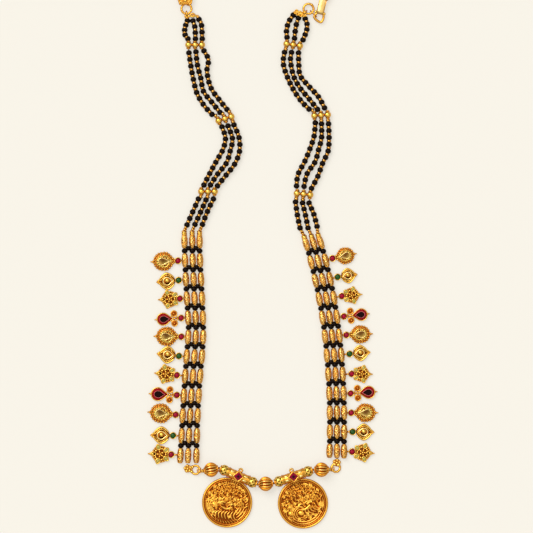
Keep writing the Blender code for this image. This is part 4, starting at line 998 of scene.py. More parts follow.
def star_body(piece, size, _):
    """Five oval lobes round a small flower, with granules in the notches; the outer lobe holds a ball."""
    start, half, wide = BEZEL_RADIUS * 0.3, 4.8 * size, 4.9 * size
    middle = X * (start + half)

    def place(bearing, share):
        return middle + heading(bearing) * (half * share, wide * share, 0)

    shares = (1.0, 0.76, 1.0, 0.76, 1.0, 0.84, 1.0, 0.76, 1.0, 0.76)
    ground_plate(piece, evened([place(36 * i, share) for i, share in enumerate(shares)], 60), 0.08)
    for bearing in range(0, 360, 72):
        x, y, _ = place(bearing, 0.72)
        lobe = oval(x, y, 1.32 * size, 1.02 * size, bearing, 18)
        rim(piece, lobe, 1.3, 0.32 * size, "bright", 1.2)
        if bearing:
            piece.add(plate(lobe, [(0.9, 0), (1.05, 0), (1.1, 0.2)]), "russet")
            piece.add(dome(inset(lobe, 0.3 * size), 1.2, 0.6, 4), "peridot")
            granules(piece, [place(bearing, 0.99)], 0.48 * size, 1.1, "lime")
        else:
            # A near-black dome round the ball: its painted shadow
            piece.add(dome(inset(lobe, 0.1), 1.0, 0.3, 3), "pit")
            piece.ball((x + 0.3 * size, y, 1.6), 0.78 * size, "bright", 14, 9)
        granules(piece, [place(bearing + 36, 0.56)], 0.7 * size, 1.2, "bright", 12, 8)
        granules(piece, [place(bearing + 36, 0.78)], 0.46 * size, 1.0, "bright", 10, 7)
        granules(piece, [place(bearing + turn, 0.8) for turn in (-25, 25)], 0.48 * size, 1.1)
        petal = [middle + heading(bearing) * reach * size for reach in (0.5, 1.2, 1.9)]
        stroke(piece, petal, 0.56 * size, 1.6, "gold", 0.35, count=7)
    granules(piece, [middle], 0.6 * size, 1.9, "bright", 12, 8)
    return start + 9.6 * size


def drop_body(piece, size, _):
    """A ruby drop on a stem between two round leaves."""
    neck_end = BEZEL_RADIUS * 0.75 + 3.4 * size
    bud = (BEZEL_RADIUS + neck_end) / 2 + 0.3
    piece.wire([(BEZEL_RADIUS * 0.7, 0, 0.8), (neck_end + 1.2, 0, 0.8)], 0.5, sides=10)
    for way in (-1, 1):
        y = way * 2.5 * size
        leaf = oval(bud, y, 1.65, 1.65, 30 * way, 22)
        piece.add(plate(leaf, [(0.3, 0.2), (0.5, 0), (1.0, 0), (1.2, 0.3)]), "relief")
        rim(piece, inset(leaf, 0.2), 1.2, 0.3, "gold")
        piece.add(dome(inset(leaf, 0.4), 1.21, 0.1, 3), "russet")
        granules(piece, [(bud + 0.1, y)], 0.5, 1.3, "relief", 12, 8)
        stroke(piece, [(bud - 0.9, y * 0.55), (bud, y * 0.35), (bud + 1.1, y * 0.5)], 0.3, 1.1)
        near = [(BEZEL_RADIUS, y * 0.12), (bud - 1.3, y * 0.45), (bud - 1.1, y * 0.85)]
        far = [(bud + 1.3, y * 0.85), (neck_end + 0.3, y * 0.45), (neck_end + 0.9, y * 0.1)]
        for curve in (near, far):
            stroke(piece, curve, 0.32, 1.1, "gold", 0.5)
    granules(piece, [(bud, 0)], 0.6, 1.2, "bright", 12, 8)
    body = pear(8.7 * size, 6.7 * size, neck_end - 0.3 - 0.5 * size, 44)
    piece.add(plate(body, [(0.2, 0.3), (0.5, 0.1), (1.2, 0.1), (1.4, 0.3)]))
    rim(piece, inset(body, 0.2), 1.4, 0.28, "bright", 1.3)
    stone = inset(body, 0.42)
    piece.add(pear_cabochon(stone, 1.3, 1.4), "ruby_drop")
    centre = stone.mean(0)
    # A thin rose line round the dark middle: a painted highlight
    piece.wire(centre + (stone - centre) * (0.67, 0.57, 1) + Z * 2.62, 0.1, "rose", 6, closed=True)
    return neck_end + 7.7 * size


def pear_cabochon(outline, base, height):
    """A red stone with a clear sloping edge, and a nearly black middle that is a painted dark reflection.
    """
    middle = outline.mean(0)
    shares = (0.98, 1.0, 0.86, 0.76, 0.68, 0.64, 0.3)
    rises = (-0.2, 0.1, 0.5, 0.82, 0.97, 1.0, 0.96)
    light = np.repeat(np.array([1.0, 1.0, 0.85, 0.6, 0.8, 0.0, 0.0])[:, None], len(outline), 1)
    rings = []
    for share, rise in zip(shares, rises):
        slim = (share, share * (0.55 + 0.45 * share), 1)
        rings.append(middle + (outline - middle) * slim + Z * (base + height * rise))
    return rings_form(rings, last=middle + Z * (base + height * 0.95), light=light)


BODIES = {"pear": pear_body, "leaf": leaf_body, "star": star_body, "drop": drop_body}


def dangle_piece(side, way, number, kind, y, lug, tilt, size):
    """One dangle, set beside its barrel where the solid is, with a lug and a fixing dot on the barrel."""
    points = column_route(side, 0 if way < 0 else 2).points
    run = np.diff(points, axis=0)
    run /= np.linalg.norm(run, axis=1)[:, None]
    away = np.stack([-run[:, 1], run[:, 0], np.zeros(len(run))], -1) * way
    beside = points[:-1] + away * (BARREL_RADIUS + lug + BEZEL_RADIUS)
    k = np.argmin(np.abs(beside[:, 1] - y))
    place, out = beside[k] * (1, 1, 0), away[k]
    piece = Piece(f"{kind}_jewel_{side}_{number}")
    round_setting(piece, "emerald" if kind == "leaf" else "ruby")
    tip_granules(piece, BODIES[kind](piece, size, -way), size)
    at = placed(place, tilt * way + (180 if way < 0 else 0))
    piece.parts = [(form.moved(at), finish, flat) for form, finish, flat in piece.parts]
    reaches = (BEZEL_RADIUS + lug - 0.1, BEZEL_RADIUS * 0.8)
    piece.wire([place + Z * 1.2 - out * reach for reach in reaches], 0.45, sides=10)
    dot = place - out * (BEZEL_RADIUS + lug + BARREL_RADIUS * 0.28) + Z * BARREL_RADIUS * 1.72
    piece.ball(dot, 0.26, "dark", 8, 6)
    piece.make(f"{kind}_dangle_{side}_{number}")


# The coins' relief, a drawing of our own. Its unit is the radius of the coin's field.


def polar(radius, degrees, x=0.0, y=0.0):
    angle = math.radians(degrees)
    return x + radius * math.cos(angle), y + radius * math.sin(angle)


class Relief:
    """Strokes and mounds, and the height that they give at a place."""

    def __init__(self):
        self.segments, self.mounds = [], []
        self.middle, self.size = (0.0, 0.0), 1.0

    def within(self, x, y, size):
        """Draws what follows about another middle and at another size."""
        self.middle, self.size = (x, y), size

    def stroke(self, points, thick, rise=1.0, taper=0.35):
        line = smooth(plan(points), 5 if len(points) > 6 else 9)[:, :2] * self.size + self.middle
        share = np.clip(np.linspace(0, 1, len(line)), 0.02, 0.98)
        width = thick * self.size * (taper + (1 - taper) * np.sin(np.pi * share) ** 0.6)
        for k in range(len(line) - 1):
            self.segments.append((*line[k], *line[k + 1], width[k], rise))

    def mound(self, x, y, half_x, half_y=None, turn=0.0, rise=1.0):
        half_y = half_x if half_y is None else half_y
        x, y = x * self.size + self.middle[0], y * self.size + self.middle[1]
        self.mounds.append((x, y, half_x * self.size, half_y * self.size, math.radians(turn), rise))

    def curl(self, x, y, size, start, way=1, thick=0.035, rise=0.8, turns=1.3):
        shares = np.linspace(0, 1, 10)
        turn = way * turns * 360
        points = [polar(size * (1 - 0.82 * share), start + turn * share, x, y) for share in shares]
        self.stroke(points, thick, rise, 0.7)

    def height(self, x, y):
        total = np.zeros_like(x)
        for ax, ay, bx, by, width, rise in self.segments:
            near = (np.abs(x - (ax + bx) / 2) < 0.12) & (np.abs(y - (ay + by) / 2) < 0.12)
            px, py = x[near] - ax, y[near] - ay
            dx, dy = bx - ax, by - ay
            t = np.clip((px * dx + py * dy) / max(dx * dx + dy * dy, 1e-12), 0, 1)
            away = np.hypot(px - t * dx, py - t * dy) / width
            total[near] = np.maximum(total[near], rise * np.sqrt(np.clip(1 - away * away, 0, 1)))
        for mx, my, half_x, half_y, turn, rise in self.mounds:
            cos, sin = math.cos(turn), math.sin(turn)
            u = ((x - mx) * cos + (y - my) * sin) / half_x
            v = (-(x - mx) * sin + (y - my) * cos) / half_y
            total = np.maximum(total, rise * np.sqrt(np.clip(1 - u * u - v * v, 0, 1)))
        return total


def seated_figure(art):
    """A calm seated figure with raised hands, on textbook proportions: nobody in particular."""
    art.mound(0, 0.335, 0.085, 0.11, rise=1.15)
    for way in (-1, 1):
        art.mound(way * 0.034, 0.352, 0.017, 0.011, rise=1.3)
        art.mound(way * 0.098, 0.32, 0.02, 0.04, rise=0.95)
        art.mound(way * 0.31, 0.49, 0.045, rise=1.0)
        for k in range(5):
            art.mound(*polar(0.09, 40 + 25 * k, way * 0.31, 0.5), 0.03, 0.024, rise=0.9)
        for limb, thick, rise in (
            (((0.05, 0.24), (0.17, 0.2), (0.25, 0.06), (0.2, -0.05)), 0.05, 1.0),
            (((0.12, 0.2), (0.29, 0.24), (0.34, 0.36), (0.31, 0.45)), 0.045, 0.95),
            (((0.02, -0.13), (0.2, -0.07), (0.36, -0.15), (0.16, -0.23)), 0.07, 1.05),
            (((0.13, 0.17), (0.17, 0.0), (0.3, -0.02), (0.4, -0.12)), 0.025, 0.7),
        ):
            art.stroke([(way * x, y) for x, y in limb], thick, rise)
    art.stroke([(0, 0.36), (0, 0.31)], 0.018, 1.45, 0.9)
    art.stroke([(-0.028, 0.278), (0, 0.272), (0.028, 0.278)], 0.013, 1.35, 0.8)
    art.mound(0, 0.1, 0.12, 0.16, rise=0.8)
    for row in range(3):
        for k in range(-2, 3 - row % 2):
            x = (k + 0.5 * (row % 2)) * 0.066
            art.mound(x, 0.2 - 0.062 * row + x * x * 2, 0.024, rise=1.2)
    for row, half in enumerate((3, 2, 1, 0)):
        for k in range(-half, half + 1):
            art.mound(k * 0.052, 0.44 + row * 0.062, 0.026, 0.032, rise=1.15)
    art.stroke([(-0.1, 0.42), (0, 0.45), (0.1, 0.42)], 0.02, 1.2, 0.8)


def canopy(art, tilt):
    """Rows of beads fanned over the figure's head, with thin bands between the rows."""
    for row, radius in enumerate((0.42, 0.535, 0.65, 0.765)):
        count = 8 + 3 * row
        for k in range(count):
            spread = radius * (1 + 0.025 * math.sin(5 * k + 2 * row))
            art.mound(*polar(spread, tilt + 35 + 110 * k / (count - 1), 0, 0.1), 0.04, rise=1.05)
    for radius in (0.478, 0.592, 0.708):
        art.stroke([polar(radius, tilt + 34 + 14 * k, 0, 0.1) for k in range(9)], 0.017, 0.65, 0.8)


def attendant(art, way, lean):
    """A smaller standing figure beside the seat."""
    x, y = way * 0.58, 0.12
    art.mound(x, y + 0.23, 0.062, 0.078, rise=1.1)
    for k in (-1, 0, 1):
        art.mound(x + k * 0.05, y + 0.34, 0.026, rise=1.0)
        art.mound(x + k * 0.045, y + 0.12, 0.02, rise=1.15)
    art.mound(x, y + 0.38, 0.03, 0.05, rise=1.0)
    art.mound(x, y + 0.07, 0.07, 0.1, turn=lean, rise=0.9)
    for arm in (((0.05, 0.14), (0.16, 0.06), (0.13, 0.24)), ((-0.05, 0.12), (-0.14, 0.01), (-0.08, -0.1))):
        art.stroke([(x + way * out, y + up) for out, up in arm], 0.035, 0.9)
    for k in range(4):
        foot = x + (k - 1.5) * 0.085
        art.stroke([(x + (k - 1.5) * 0.03, y), (foot, y - 0.14), (foot + way * 0.03, y - 0.27)], 0.034, 0.9)


def bird(art, x, y, size):
    """A round-bodied bird with a curled tail, as beside many such seats."""
    art.within(x, y, size)
    art.mound(0, 0, 0.17, 0.13, turn=-30, rise=1.0)
    art.stroke([(0.1, 0.08), (0.2, 0.2), (0.1, 0.3)], 0.05, 1.0, 0.6)
    art.mound(0.08, 0.33, 0.06, 0.05, rise=1.1)
    art.mound(0, 0.0, 0.045, rise=1.25)
    for reach in (0.25, 0.35, 0.45):
        points = [polar(reach, 100 + 34 * step) for step in range(6)]
        art.stroke([(x, y * 0.9) for x, y in points], 0.042, 0.95, 0.4)
    art.curl(-0.2, -0.26, 0.1, 90, 1, 0.035, 1.0)
    art.within(0, 0, 1.0)


def flames(art, middle, tilt, count):
    """Swept petals side by side under the seat; each leans and curves as one of a row of flames."""
    for k in range(count):
        share = (k - (count - 1) / 2) / count
        side = polar(1.0, tilt + 38 * share)
        x, y = middle[0] + share * count * 0.118, middle[1] - 0.1 * share * share
        points = []
        for along, off in ((0.0, 0.06), (0.07, 0.0), (0.16, -0.03), (0.25, 0.0), (0.34, 0.06)):
            points.append((x + side[1] * along + side[0] * off, y - side[0] * along + side[1] * off))
        art.stroke(points, 0.041, 1.1, 0.4)


def crescents(art, first, last, reaches):
    """Long bows that follow the rim."""
    for k, reach in enumerate(reaches):
        span_of_bow = last - first - 5 * k
        bow = [polar(reach, first + 3 * k + span_of_bow * step / 5) for step in range(6)]
        art.stroke(bow, 0.04, 1.05, 0.3)


def border(art, first, last):
    """Short slanting strokes along the rim."""
    for bearing in range(first, last, 8):
        art.stroke([polar(0.8, bearing), polar(0.89, bearing + 5)], 0.028, 0.95, 0.7)


# The scrolls on both coins: place, size, starting bearing and way of turning
SCROLLS = (
    (-0.8, 0.3, 0.08, 30, 1), (0.82, 0.26, 0.07, 150, -1), (-0.62, 0.6, 0.09, 0, 1),
    (0.64, 0.58, 0.08, 180, -1), (-0.84, 0.02, 0.07, 60, -1), (0.36, -0.04, 0.07, 120, 1),
    (-0.3, 0.12, 0.06, 0, 1), (0.32, 0.16, 0.06, 180, -1), (-0.44, 0.72, 0.07, 90, -1),
    (0.46, 0.7, 0.07, 90, 1), (-0.3, -0.06, 0.07, 200, -1), (0.2, -0.6, 0.06, 340, 1),
)
# The right coin's own scrolls, each with its thickness too
RIGHT_SCROLLS = (
    (0.04, -0.63, 0.1, 200, 1, 0.04), (0.0, -0.46, 0.07, 20, -1, 0.034),
    (-0.13, -0.58, 0.1, 250, -1, 0.036), (0.68, -0.36, 0.1, 120, -1, 0.042),
    (0.52, -0.58, 0.08, 60, 1, 0.04), (0.28, -0.66, 0.07, 20, -1, 0.036),
)


def coin_art(side):
    """The same company on both coins, with its birds, petals and bows set a little apart."""
    art = Relief()
    way = -1 if side == "left" else 1
    art.within(0.03 * way, 0.06, 0.72)
    seated_figure(art)
    art.within(0, 0, 1.0)
    canopy(art, -10 * way)
    for other in (-1, 1):
        art.within(0.04 * other, 0.02, 0.92)
        attendant(art, other, -12 * other)
        art.within(0.3 * other, 0.12, 0.42)
        attendant(art, other * 0.2, 8)
    art.within(0, 0, 1.0)
    if side == "left":
        flames(art, (-0.05, -0.36), -8, 8)
        bird(art, -0.5, -0.16, 0.9)
        crescents(art, 186, 240, (0.88, 0.78, 0.68))
        crescents(art, 306, 350, (0.88, 0.77, 0.66, 0.55))
        for first, last in ((-8, 60), (240, 306), (66, 116)):
            border(art, first, last)
    else:
        flames(art, (0.3, -0.26), 30, 7)
        bird(art, -0.24, -0.36, 0.85)
        bird(art, -0.66, -0.18, 0.8)
        crescents(art, 210, 312, (0.88, 0.79))
        crescents(art, 316, 352, (0.88, 0.78))
        border(art, -6, 66)
        art.mound(-0.02, -0.54, 0.05, rise=1.0)
        for scroll in RIGHT_SCROLLS:
            art.curl(*scroll, 1.0)
    art.stroke([(-0.22, -0.2), (0, -0.27), (0.24, -0.19)], 0.06, 1.1, 0.5)
    for scroll in SCROLLS:
        art.curl(*scroll, 0.034, 1.0)
    small_scrolls(art)
    return art


def small_scrolls(art, count=90, golden_angle=2.399963):
    """Fine curls over the whole field above the petals, spread as seeds in a sunflower."""
    for k in range(count):
        x, y = polar(0.86 * math.sqrt((k + 0.5) / count), math.degrees(k * golden_angle))
        if y > -0.35:
            art.curl(x, y, 0.066, 77 * k, 1 if k % 2 else -1, 0.024, 0.66, 1.0)
            art.mound(x, y, 0.02, rise=0.72)


def disc_sheet(steps):
    """A square grid pressed evenly into a round disc of radius 1."""
    line = np.linspace(-1, 1, steps)
    a, b = np.meshgrid(line, line, indexing="ij")
    wide = np.abs(a) > np.abs(b)
    radius, other = np.where(wide, a, b), np.where(wide, b, a)
    lean = np.pi / 4 * other / np.where(radius == 0, 1, radius)
    angle = np.where(wide, lean, np.pi / 2 - lean)
    return radius * np.cos(angle), radius * np.sin(angle)


def coin_relief(side, steps=190, field_edge=0.925, ring_reach=0.95, ring_half=0.022, depth=0.52):
    """The struck field with its ring, sunk behind the coin's rim."""
    x, y = disc_sheet(steps)
    reach = np.hypot(x, y)
    ring = np.clip(1 - np.abs(reach - ring_reach) / ring_half, 0, 1) ** 0.5
    field = np.maximum(np.where(reach > field_edge, 0, coin_art(side).height(x, y)), ring * 0.75)
    radius = COIN_RADIUS - COIN_RIM_WIDTH - 0.1
    z = np.where(reach > 0.995, COIN_THICKNESS - 0.6, COIN_THICKNESS - 0.4 + depth * field)
    # Painted light: shade in the low field, a faint highlight on the highest relief
    light = np.clip((field - 0.15) / 0.6, 0, 1) + np.clip((field - 0.8) / 0.25, 0, 1) * 0.06
    form = Form(np.stack([x * radius, y * radius, z], -1), sheet_faces(steps, steps), light=light.ravel())
    _, a, b, c = form.triangles()
    if np.cross(b - a, c - a)[:, 2].sum() < 0:
        form.quads = form.quads[:, ::-1]
    return form


# The coin pendants: the coin on a tube bail, with a square ruby


def coin_body(piece, at):
    """The coin's rounded rim with a recess on both faces."""
    profile = [(0.0, 0.3)]
    for inward, height in (
        (1.2, 0.3), (1.1, 0.05), (0.4, 0.0), (0.05, 0.4), (0.0, 0.9), (0.1, 1.4),
        (0.4, COIN_THICKNESS + 0.1), (0.8, COIN_THICKNESS + 0.1), (1.05, 1.3), (1.2, 1.15),
    ):
        profile.append((COIN_RADIUS - inward, height))
    piece.add(turned([*profile, (0.0, 1.15)], 128), at=at)
    piece.add(turned([(0.0, 0.28), (10.5, 0.28), (10.8, 0.1), (10.5, 0.1), (0.0, 0.2)], 96), at=at)


def saddle(piece, at):
    """Solder and granules between the coin's edge and the tube."""
    foot = evened(plan([(-2.8, 11), (2.8, 11), (2.8, 13.9), (-2.8, 13.9)]), 24)
    piece.add(plate(foot, [(0.5, 0.3), (0.7, 0), (2.4, 0), (3.0, 0.6)]), at=at)
    for k in range(5):
        piece.add(ball(0.55, 10, 7), at=at @ placed((-2.2 + 1.1 * k, 10.9, 1.8)))


def speckled_ball(radius, half, cut=0.12, row_step=0.5, dots_round=8):
    """An end ball, cut at both ends and pierced with small dark dots in staggered rows."""
    steps, angles = np.linspace(cut, np.pi - cut, 19), full_turn(40)
    rings, light = [], []
    for a in steps:
        rings.append(around(radius * math.sin(a) ** 0.75, half * math.cos(a), angles))
        row = round((a - np.pi / 2) / row_step)
        across = (a - np.pi / 2 - row * row_step) / 0.2
        along = ((angles / (2 * np.pi) * dots_round + 0.5 * (row % 2)) % 1 - 0.5) / 0.26
        light.append(1 - np.clip(2.2 - 1.5 * (across**2 + along**2), 0, 1) * (abs(row) <= 1))
    end = half * math.cos(cut)
    return rings_form(rings, (0, 0, end), (0, 0, -end), np.array(light))


def tube_bail(piece, axis, run, over):
    """The tube with its rings and fluted ends, and a speckled ball and a washer at each end."""
    half = TUBE_SPAN / 2
    profile = [(0.9, -half), (0.98, 0.6 - half), (1, -1.2), (1, 1.2), (0.98, half - 0.6), (0.9, half)]
    profile = [(TUBE_RADIUS * share, height) for share, height in profile]
    piece.add(turned([(0, -half), *profile, (0, half)], 48), at=aimed(axis, run))
    hoop = wire(circle(TUBE_RADIUS * 0.98, 48), 0.24, closed=True)
    for place in (-0.72, -0.62, -0.3, 0.3, 0.62, 0.72):
        piece.add(hoop, at=aimed(axis + run * half * place, run))
    washer = turned([(0.9, -0.3), (1.6, -0.3), (1.5, 0.3), (0.9, 0.3)], 24)
    for way in (-1, 1):
        # Pale flutes, whose colour also paints the tube's highlight stripes
        for bearing in (62, 112.4):
            x, z = polar(TUBE_RADIUS, bearing)
            foot = axis + over * x + Z * z
            flute = [foot + run * half * way * share for share in (0.33, 0.36, 0.57, 0.6)]
            piece.wire(flute, [0.2, 0.42, 0.42, 0.2], "pale", 10)
        middle = axis + run * way * (TUBE_REACH - TUBE_BALL_LENGTH / 2)
        globe = speckled_ball(TUBE_BALL_RADIUS * 0.94, TUBE_BALL_LENGTH / 2)
        piece.add(globe, "speckled", at=aimed(middle, run, roll=0.3))
        for place, size in ((-0.49, 0.84), (0.46, 0.56)):
            ring = wire(circle(TUBE_BALL_RADIUS * size, 48), 0.3, closed=True)
            piece.add(ring, at=aimed(middle + run * way * TUBE_BALL_LENGTH * place, run))
        piece.add(washer, at=aimed(axis + run * way * (TUBE_REACH - 0.25), run))


def square_setting(piece, at):
    """The square ruby on its point over the bail, in a plain gold frame."""
    def square(half, height):
        return evened(plan([(half, 0), (0, half), (-half, 0), (0, -half)], height), 24)

    outer, inner = 4.2 / math.sqrt(2), 3.1 / math.sqrt(2)
    piece.add(plate(square(outer, 0), [(-1.2, 0.4), (-0.4, 0.1), (0, 0), (0.7, 0.1)]), at=at)
    piece.add(wire(square((outer + inner) / 2, 0.8), 0.34, closed=True), at=at)
    rings = [square(inner, 0.8), square(inner * 0.6, 1.5), square(inner * 0.25, 1.5)]
    # Painted light: the stone lit at its edge and dark in its middle, as reflection
    light = np.repeat([[0.95], [0.6], [0.0]], 24, 1)
    piece.add(rings_form(rings, (0, 0, 0.6), (0, 0, 1.5), light), "garnet", flat=True, at=at)


def coin_pendant(side):
    turn, bail = TUBE_TURN[side], front_places()["bail", side]
    run, over = heading(turn), heading(turn + 90)
    origin, axis = bail - over * BAIL_OFFSET, bail + Z * TUBE_HEIGHT
    piece = Piece(f"coin_{side}")
    coin_body(piece, placed(origin, turn))
    piece.add(coin_relief(side), "relief", at=placed(origin, turn + ART_LEAN[side]))
    saddle(piece, placed(origin, turn))
    tube_bail(piece, axis, run, over)
    square_setting(piece, placed(axis + Z * (TUBE_RADIUS + 0.4), turn * 0.35))
    piece.twist(placed(axis + over * (TUBE_RADIUS + 0.8)), 0.8, 0.46, 8, "bright")
    piece.make(f"coin_pendant_{side}")


# The front row between the corner rings


def front_places():
    """Where the front row's joints, bails and beads lie, worked out from the middle bead."""
    places = {"middle": plan(CENTRE_BEAD)}
    for side, way in SIDES:
        joint = places["middle"] + heading(CENTRE_BEAD_TURN) * way * (RIBBED_LENGTH + STRING_GAP) / 2
        places["inner joint", side] = joint
        run = heading(TUBE_TURN[side]) * way * (TUBE_REACH + STRING_GAP / 2)
        places["bail", side] = joint + run
        places["outer joint", side] = joint + run * 2
        run = heading(END_BEAD_TURN[side]) * way
        places["bead", side] = places["outer joint", side] + run * (RIBBED_LENGTH + STRING_GAP) / 2
        away = heading(EYE_TURN[side]) * way
        places["eye", side] = places["bead", side] + run * RIBBED_LENGTH / 2 + away * EYE_STANDOFF[side]
    return places


def ribbed_form(sides=112, rows=25, ribs=14):
    """A melon bead round Z with rounded ribs, painted shade in its grooves and painted highlights on their
    crests.
    """
    angles = full_turn(sides)
    groove = np.abs(np.sin(angles * ribs / 2)) ** 0.75
    shade = groove**1.3 + 0.4 * np.clip((groove - 0.88) / 0.12, 0, 1)
    rings = []
    for v in np.linspace(0.08, 0.92, rows):
        swell = math.sin(math.pi * v)
        skin = RIBBED_RADIUS * swell**1.05 - 0.85 * swell**0.6 * (1 - groove)
        rings.append(around(skin, -RIBBED_LENGTH / 2 * math.cos(math.pi * v), angles))
    return rings_form(rings, light=np.tile(shade, (rows, 1)))


def ribbed_bead(name, place, turn):
    piece = Piece(f"melon_{name}")
    run, at = heading(turn), place + Z * RIBBED_RADIUS
    piece.add(ribbed_form(), "ribbed", at=aimed(at, run))
    collar = turned([(0.45, -0.2), (1.2, -0.2), (1.1, 0.2), (0.45, 0.2)], 24)
    for way in (-1, 1):
        piece.twist(aimed(at + run * way * RIBBED_LENGTH * 0.455, run), 1.3, 0.34, 12, sides=48)
        piece.add(collar, "bright", at=aimed(at + run * way * RIBBED_LENGTH * 0.475, run))
    piece.make(f"ribbed_bead_{name}")


def wire_half(places, side, way):
    """One half of the front wire, from its eye to the tube next to the middle bead."""
    inward = EYE_TURN[side] + (0 if way < 0 else 180)
    eye, bead = places["eye", side] + Z * EYE_HEIGHT, places["bead", side] + Z * RIBBED_RADIUS
    tube = places["bail", side] + Z * TUBE_HEIGHT
    bead_reach = heading(END_BEAD_TURN[side]) * way * BEAD_MOUTH
    tube_reach = heading(TUBE_TURN[side]) * way * (TUBE_REACH - 0.2 * TUBE_BALL_LENGTH)
    arc = [eye + heading(inward - angle * way) * EYE_RADIUS for angle in np.linspace(60, 316, 15)]
    return arc + [bead + bead_reach, bead - bead_reach, tube + tube_reach, tube - tube_reach]


def front_wire():
    """The wire through the front row, with an eye at each end, wraps and small joint collars."""
    places = front_places()
    middle, run = places["middle"] + Z * RIBBED_RADIUS, heading(CENTRE_BEAD_TURN) * BEAD_MOUTH
    left, right = (wire_half(places, side, way) for side, way in SIDES)
    piece = Piece("string_wire")
    piece.wire([*left, middle - run, middle + run, *right[::-1]], 0.3)
    for side, way in SIDES:
        run = heading(END_BEAD_TURN[side]) * way
        start = places["bead", side] + Z * RIBBED_RADIUS + run * RIBBED_LENGTH * 0.52
        end = places["eye", side] + Z * EYE_HEIGHT - heading(EYE_TURN[side]) * way * EYE_RADIUS * 0.9
        wraps(piece, start, start + (end - start) * 0.9, 0.56, 0.3, 4, "bright")
        for joint in ("inner joint", "outer joint"):
            spot = places[joint, side] + Z * (RIBBED_RADIUS + TUBE_HEIGHT) / 2
            piece.add(collar_form(0.6, STRING_GAP / 2), "russet", at=aimed(spot, run))
    piece.make("front_wire")


# Corner rings, and the fittings at the top


def loop(piece, middle, across, along, radius, thick, count=36, swell=0.0, waves=9, long_radius=None):
    """A closed wire ring in the plane of two directions; a swell makes it look hammered."""
    angles = full_turn(count)
    far = radius if long_radius is None else long_radius
    points = middle + np.outer(np.cos(angles) * radius, across) + np.outer(np.sin(angles) * far, along)
    piece.wire(points, thick * (1 + swell * np.cos(angles * waves)), sides=10, closed=True)


def wraps(piece, start, end, radius, thick, count, finish="gold"):
    """Turns of fine wire laid side by side round a straight stretch."""
    for k in range(count):
        at = aimed(start + (end - start) * (k + 0.5) / count, end - start)
        piece.twist(at, radius, thick, 6, finish, 24)


def flower(piece, spot, radius, turn, petals=5):
    """A flower of granules with a raised heart, over a small dark plate that paints the shade between them.
    """
    piece.add(plate(circle(radius * 0.86, 30) + spot, [(0.1, 0.3), (0.4, 0), (0.8, 0.1)]), "dark")
    for k in range(petals):
        petal = spot + heading(turn + 360 * k / petals) * radius * 0.64
        piece.ball(petal + Z * 1.05, radius * 0.4, "bright", 14, 9)
        notch = spot + heading(turn + 360 * (k + 0.5) / petals) * radius * 0.8
        piece.ball(notch + Z, radius * 0.16, "bright", 8, 6)
    piece.ball(spot + Z * 1.5, radius * 0.34, "bright", 14, 9)
    piece.twist(placed(spot + Z * 1.35), radius * 0.36, radius * 0.09, 12)


def corner_piece(side, way):
    """The ring that leans in the wire's eye, and the flower soldered to it between two balls."""
    outward = heading(EYE_TURN[side]) * way
    tilt = math.asin((EYE_HEIGHT - CORNER_RING_LOW) / (2 * CORNER_RING_RADIUS))
    middle = front_places()["eye", side] + outward * CORNER_RING_RADIUS * math.cos(tilt)
    middle[2] = (EYE_HEIGHT + CORNER_RING_LOW) / 2
    along = outward * math.cos(tilt) - Z * math.sin(tilt)
    piece = Piece(f"corner_{side}")
    loop(piece, middle, along, np.cross(Z, outward), CORNER_RING_RADIUS, 0.58, 44, 0.09)
    bearing, standoff = FLOWERS[side]
    spot = middle + heading(bearing) * (CORNER_RING_RADIUS + FLOWER_RADIUS * standoff)
    flower(piece, spot * (1, 1, 0), FLOWER_RADIUS * 1.12, bearing)
    for bend in (-34, 34):
        joint = middle + heading(bearing + bend) * CORNER_RING_RADIUS
        piece.ball(joint * (1, 1, 0) + Z, 0.88, "bright")
    piece.make(f"corner_ring_{side}")


def top_ring_place(side, bearing=None):
    """The middle of a top ring, or the place on it at a bearing."""
    middle = plan(TOP_RINGS[side], TOP_RING_HEIGHT)
    return middle if bearing is None else middle + heading(bearing) * TOP_RING_RADIUS


def fork_curls(piece, bar):
    """Granules and twisted rings to and fro across the right fork's bar."""
    path = Route(bar)
    for k in range(6):
        spot = path.spot(path.length * (0.15 + 0.8 * k / 5))
        lean = heading(110) * 0.75 if k % 2 else heading(60) * -0.75
        piece.ball(spot + lean + Z * 0.2, 0.85, "relief", 14, 9)
        piece.twist(placed(spot - lean * 0.7 + Z * 0.6), 0.8, 0.26, 8, "bright", 28)


def fork_piece(side):
    """The eye on the top ring and the bar that the strands hang from, under curled wire and granules."""
    way = heading(FORK_BEARING[side])
    held, spots = top_ring_place(side, FORK_BEARING[side]), plan(FORK_HANGERS[side], TOP_RING_HEIGHT)
    piece = Piece(f"fork_{side}")
    loop(piece, held, way, Z, FORK_EYE_RADIUS, 0.44, 28)
    bar = smooth(spots, 12)
    first, last = spots[0] * 1.12 - spots[1] * 0.12, spots[-1] * 1.12 - spots[-2] * 0.12
    piece.wire([first, *bar, last], 0.55, sides=10)
    near = held + way * FORK_EYE_RADIUS * 0.85
    for spot in spots:
        bow = (near + spot) / 2 + Z * 0.5 + way * 0.2
        piece.wire(smooth([near, bow, spot + Z * 0.1], 10), 0.42, "bright")
        wraps(piece, spot - Y * 0.1, spot - Y * 0.9, 0.62, 0.3, 2)
    if side == "right":
        fork_curls(piece, bar)
    else:
        for spot in spots[:2]:
            arch = [spot + heading(bearing) * 1.1 + Z * 0.3 for bearing in (200, 150, 90, 30, -20)]
            piece.wire(smooth(arch, 8), 0.4)
        piece.ball(near + way * 0.4, 0.8, "bright", 14, 9)
    piece.make(f"strand_fork_{side}")


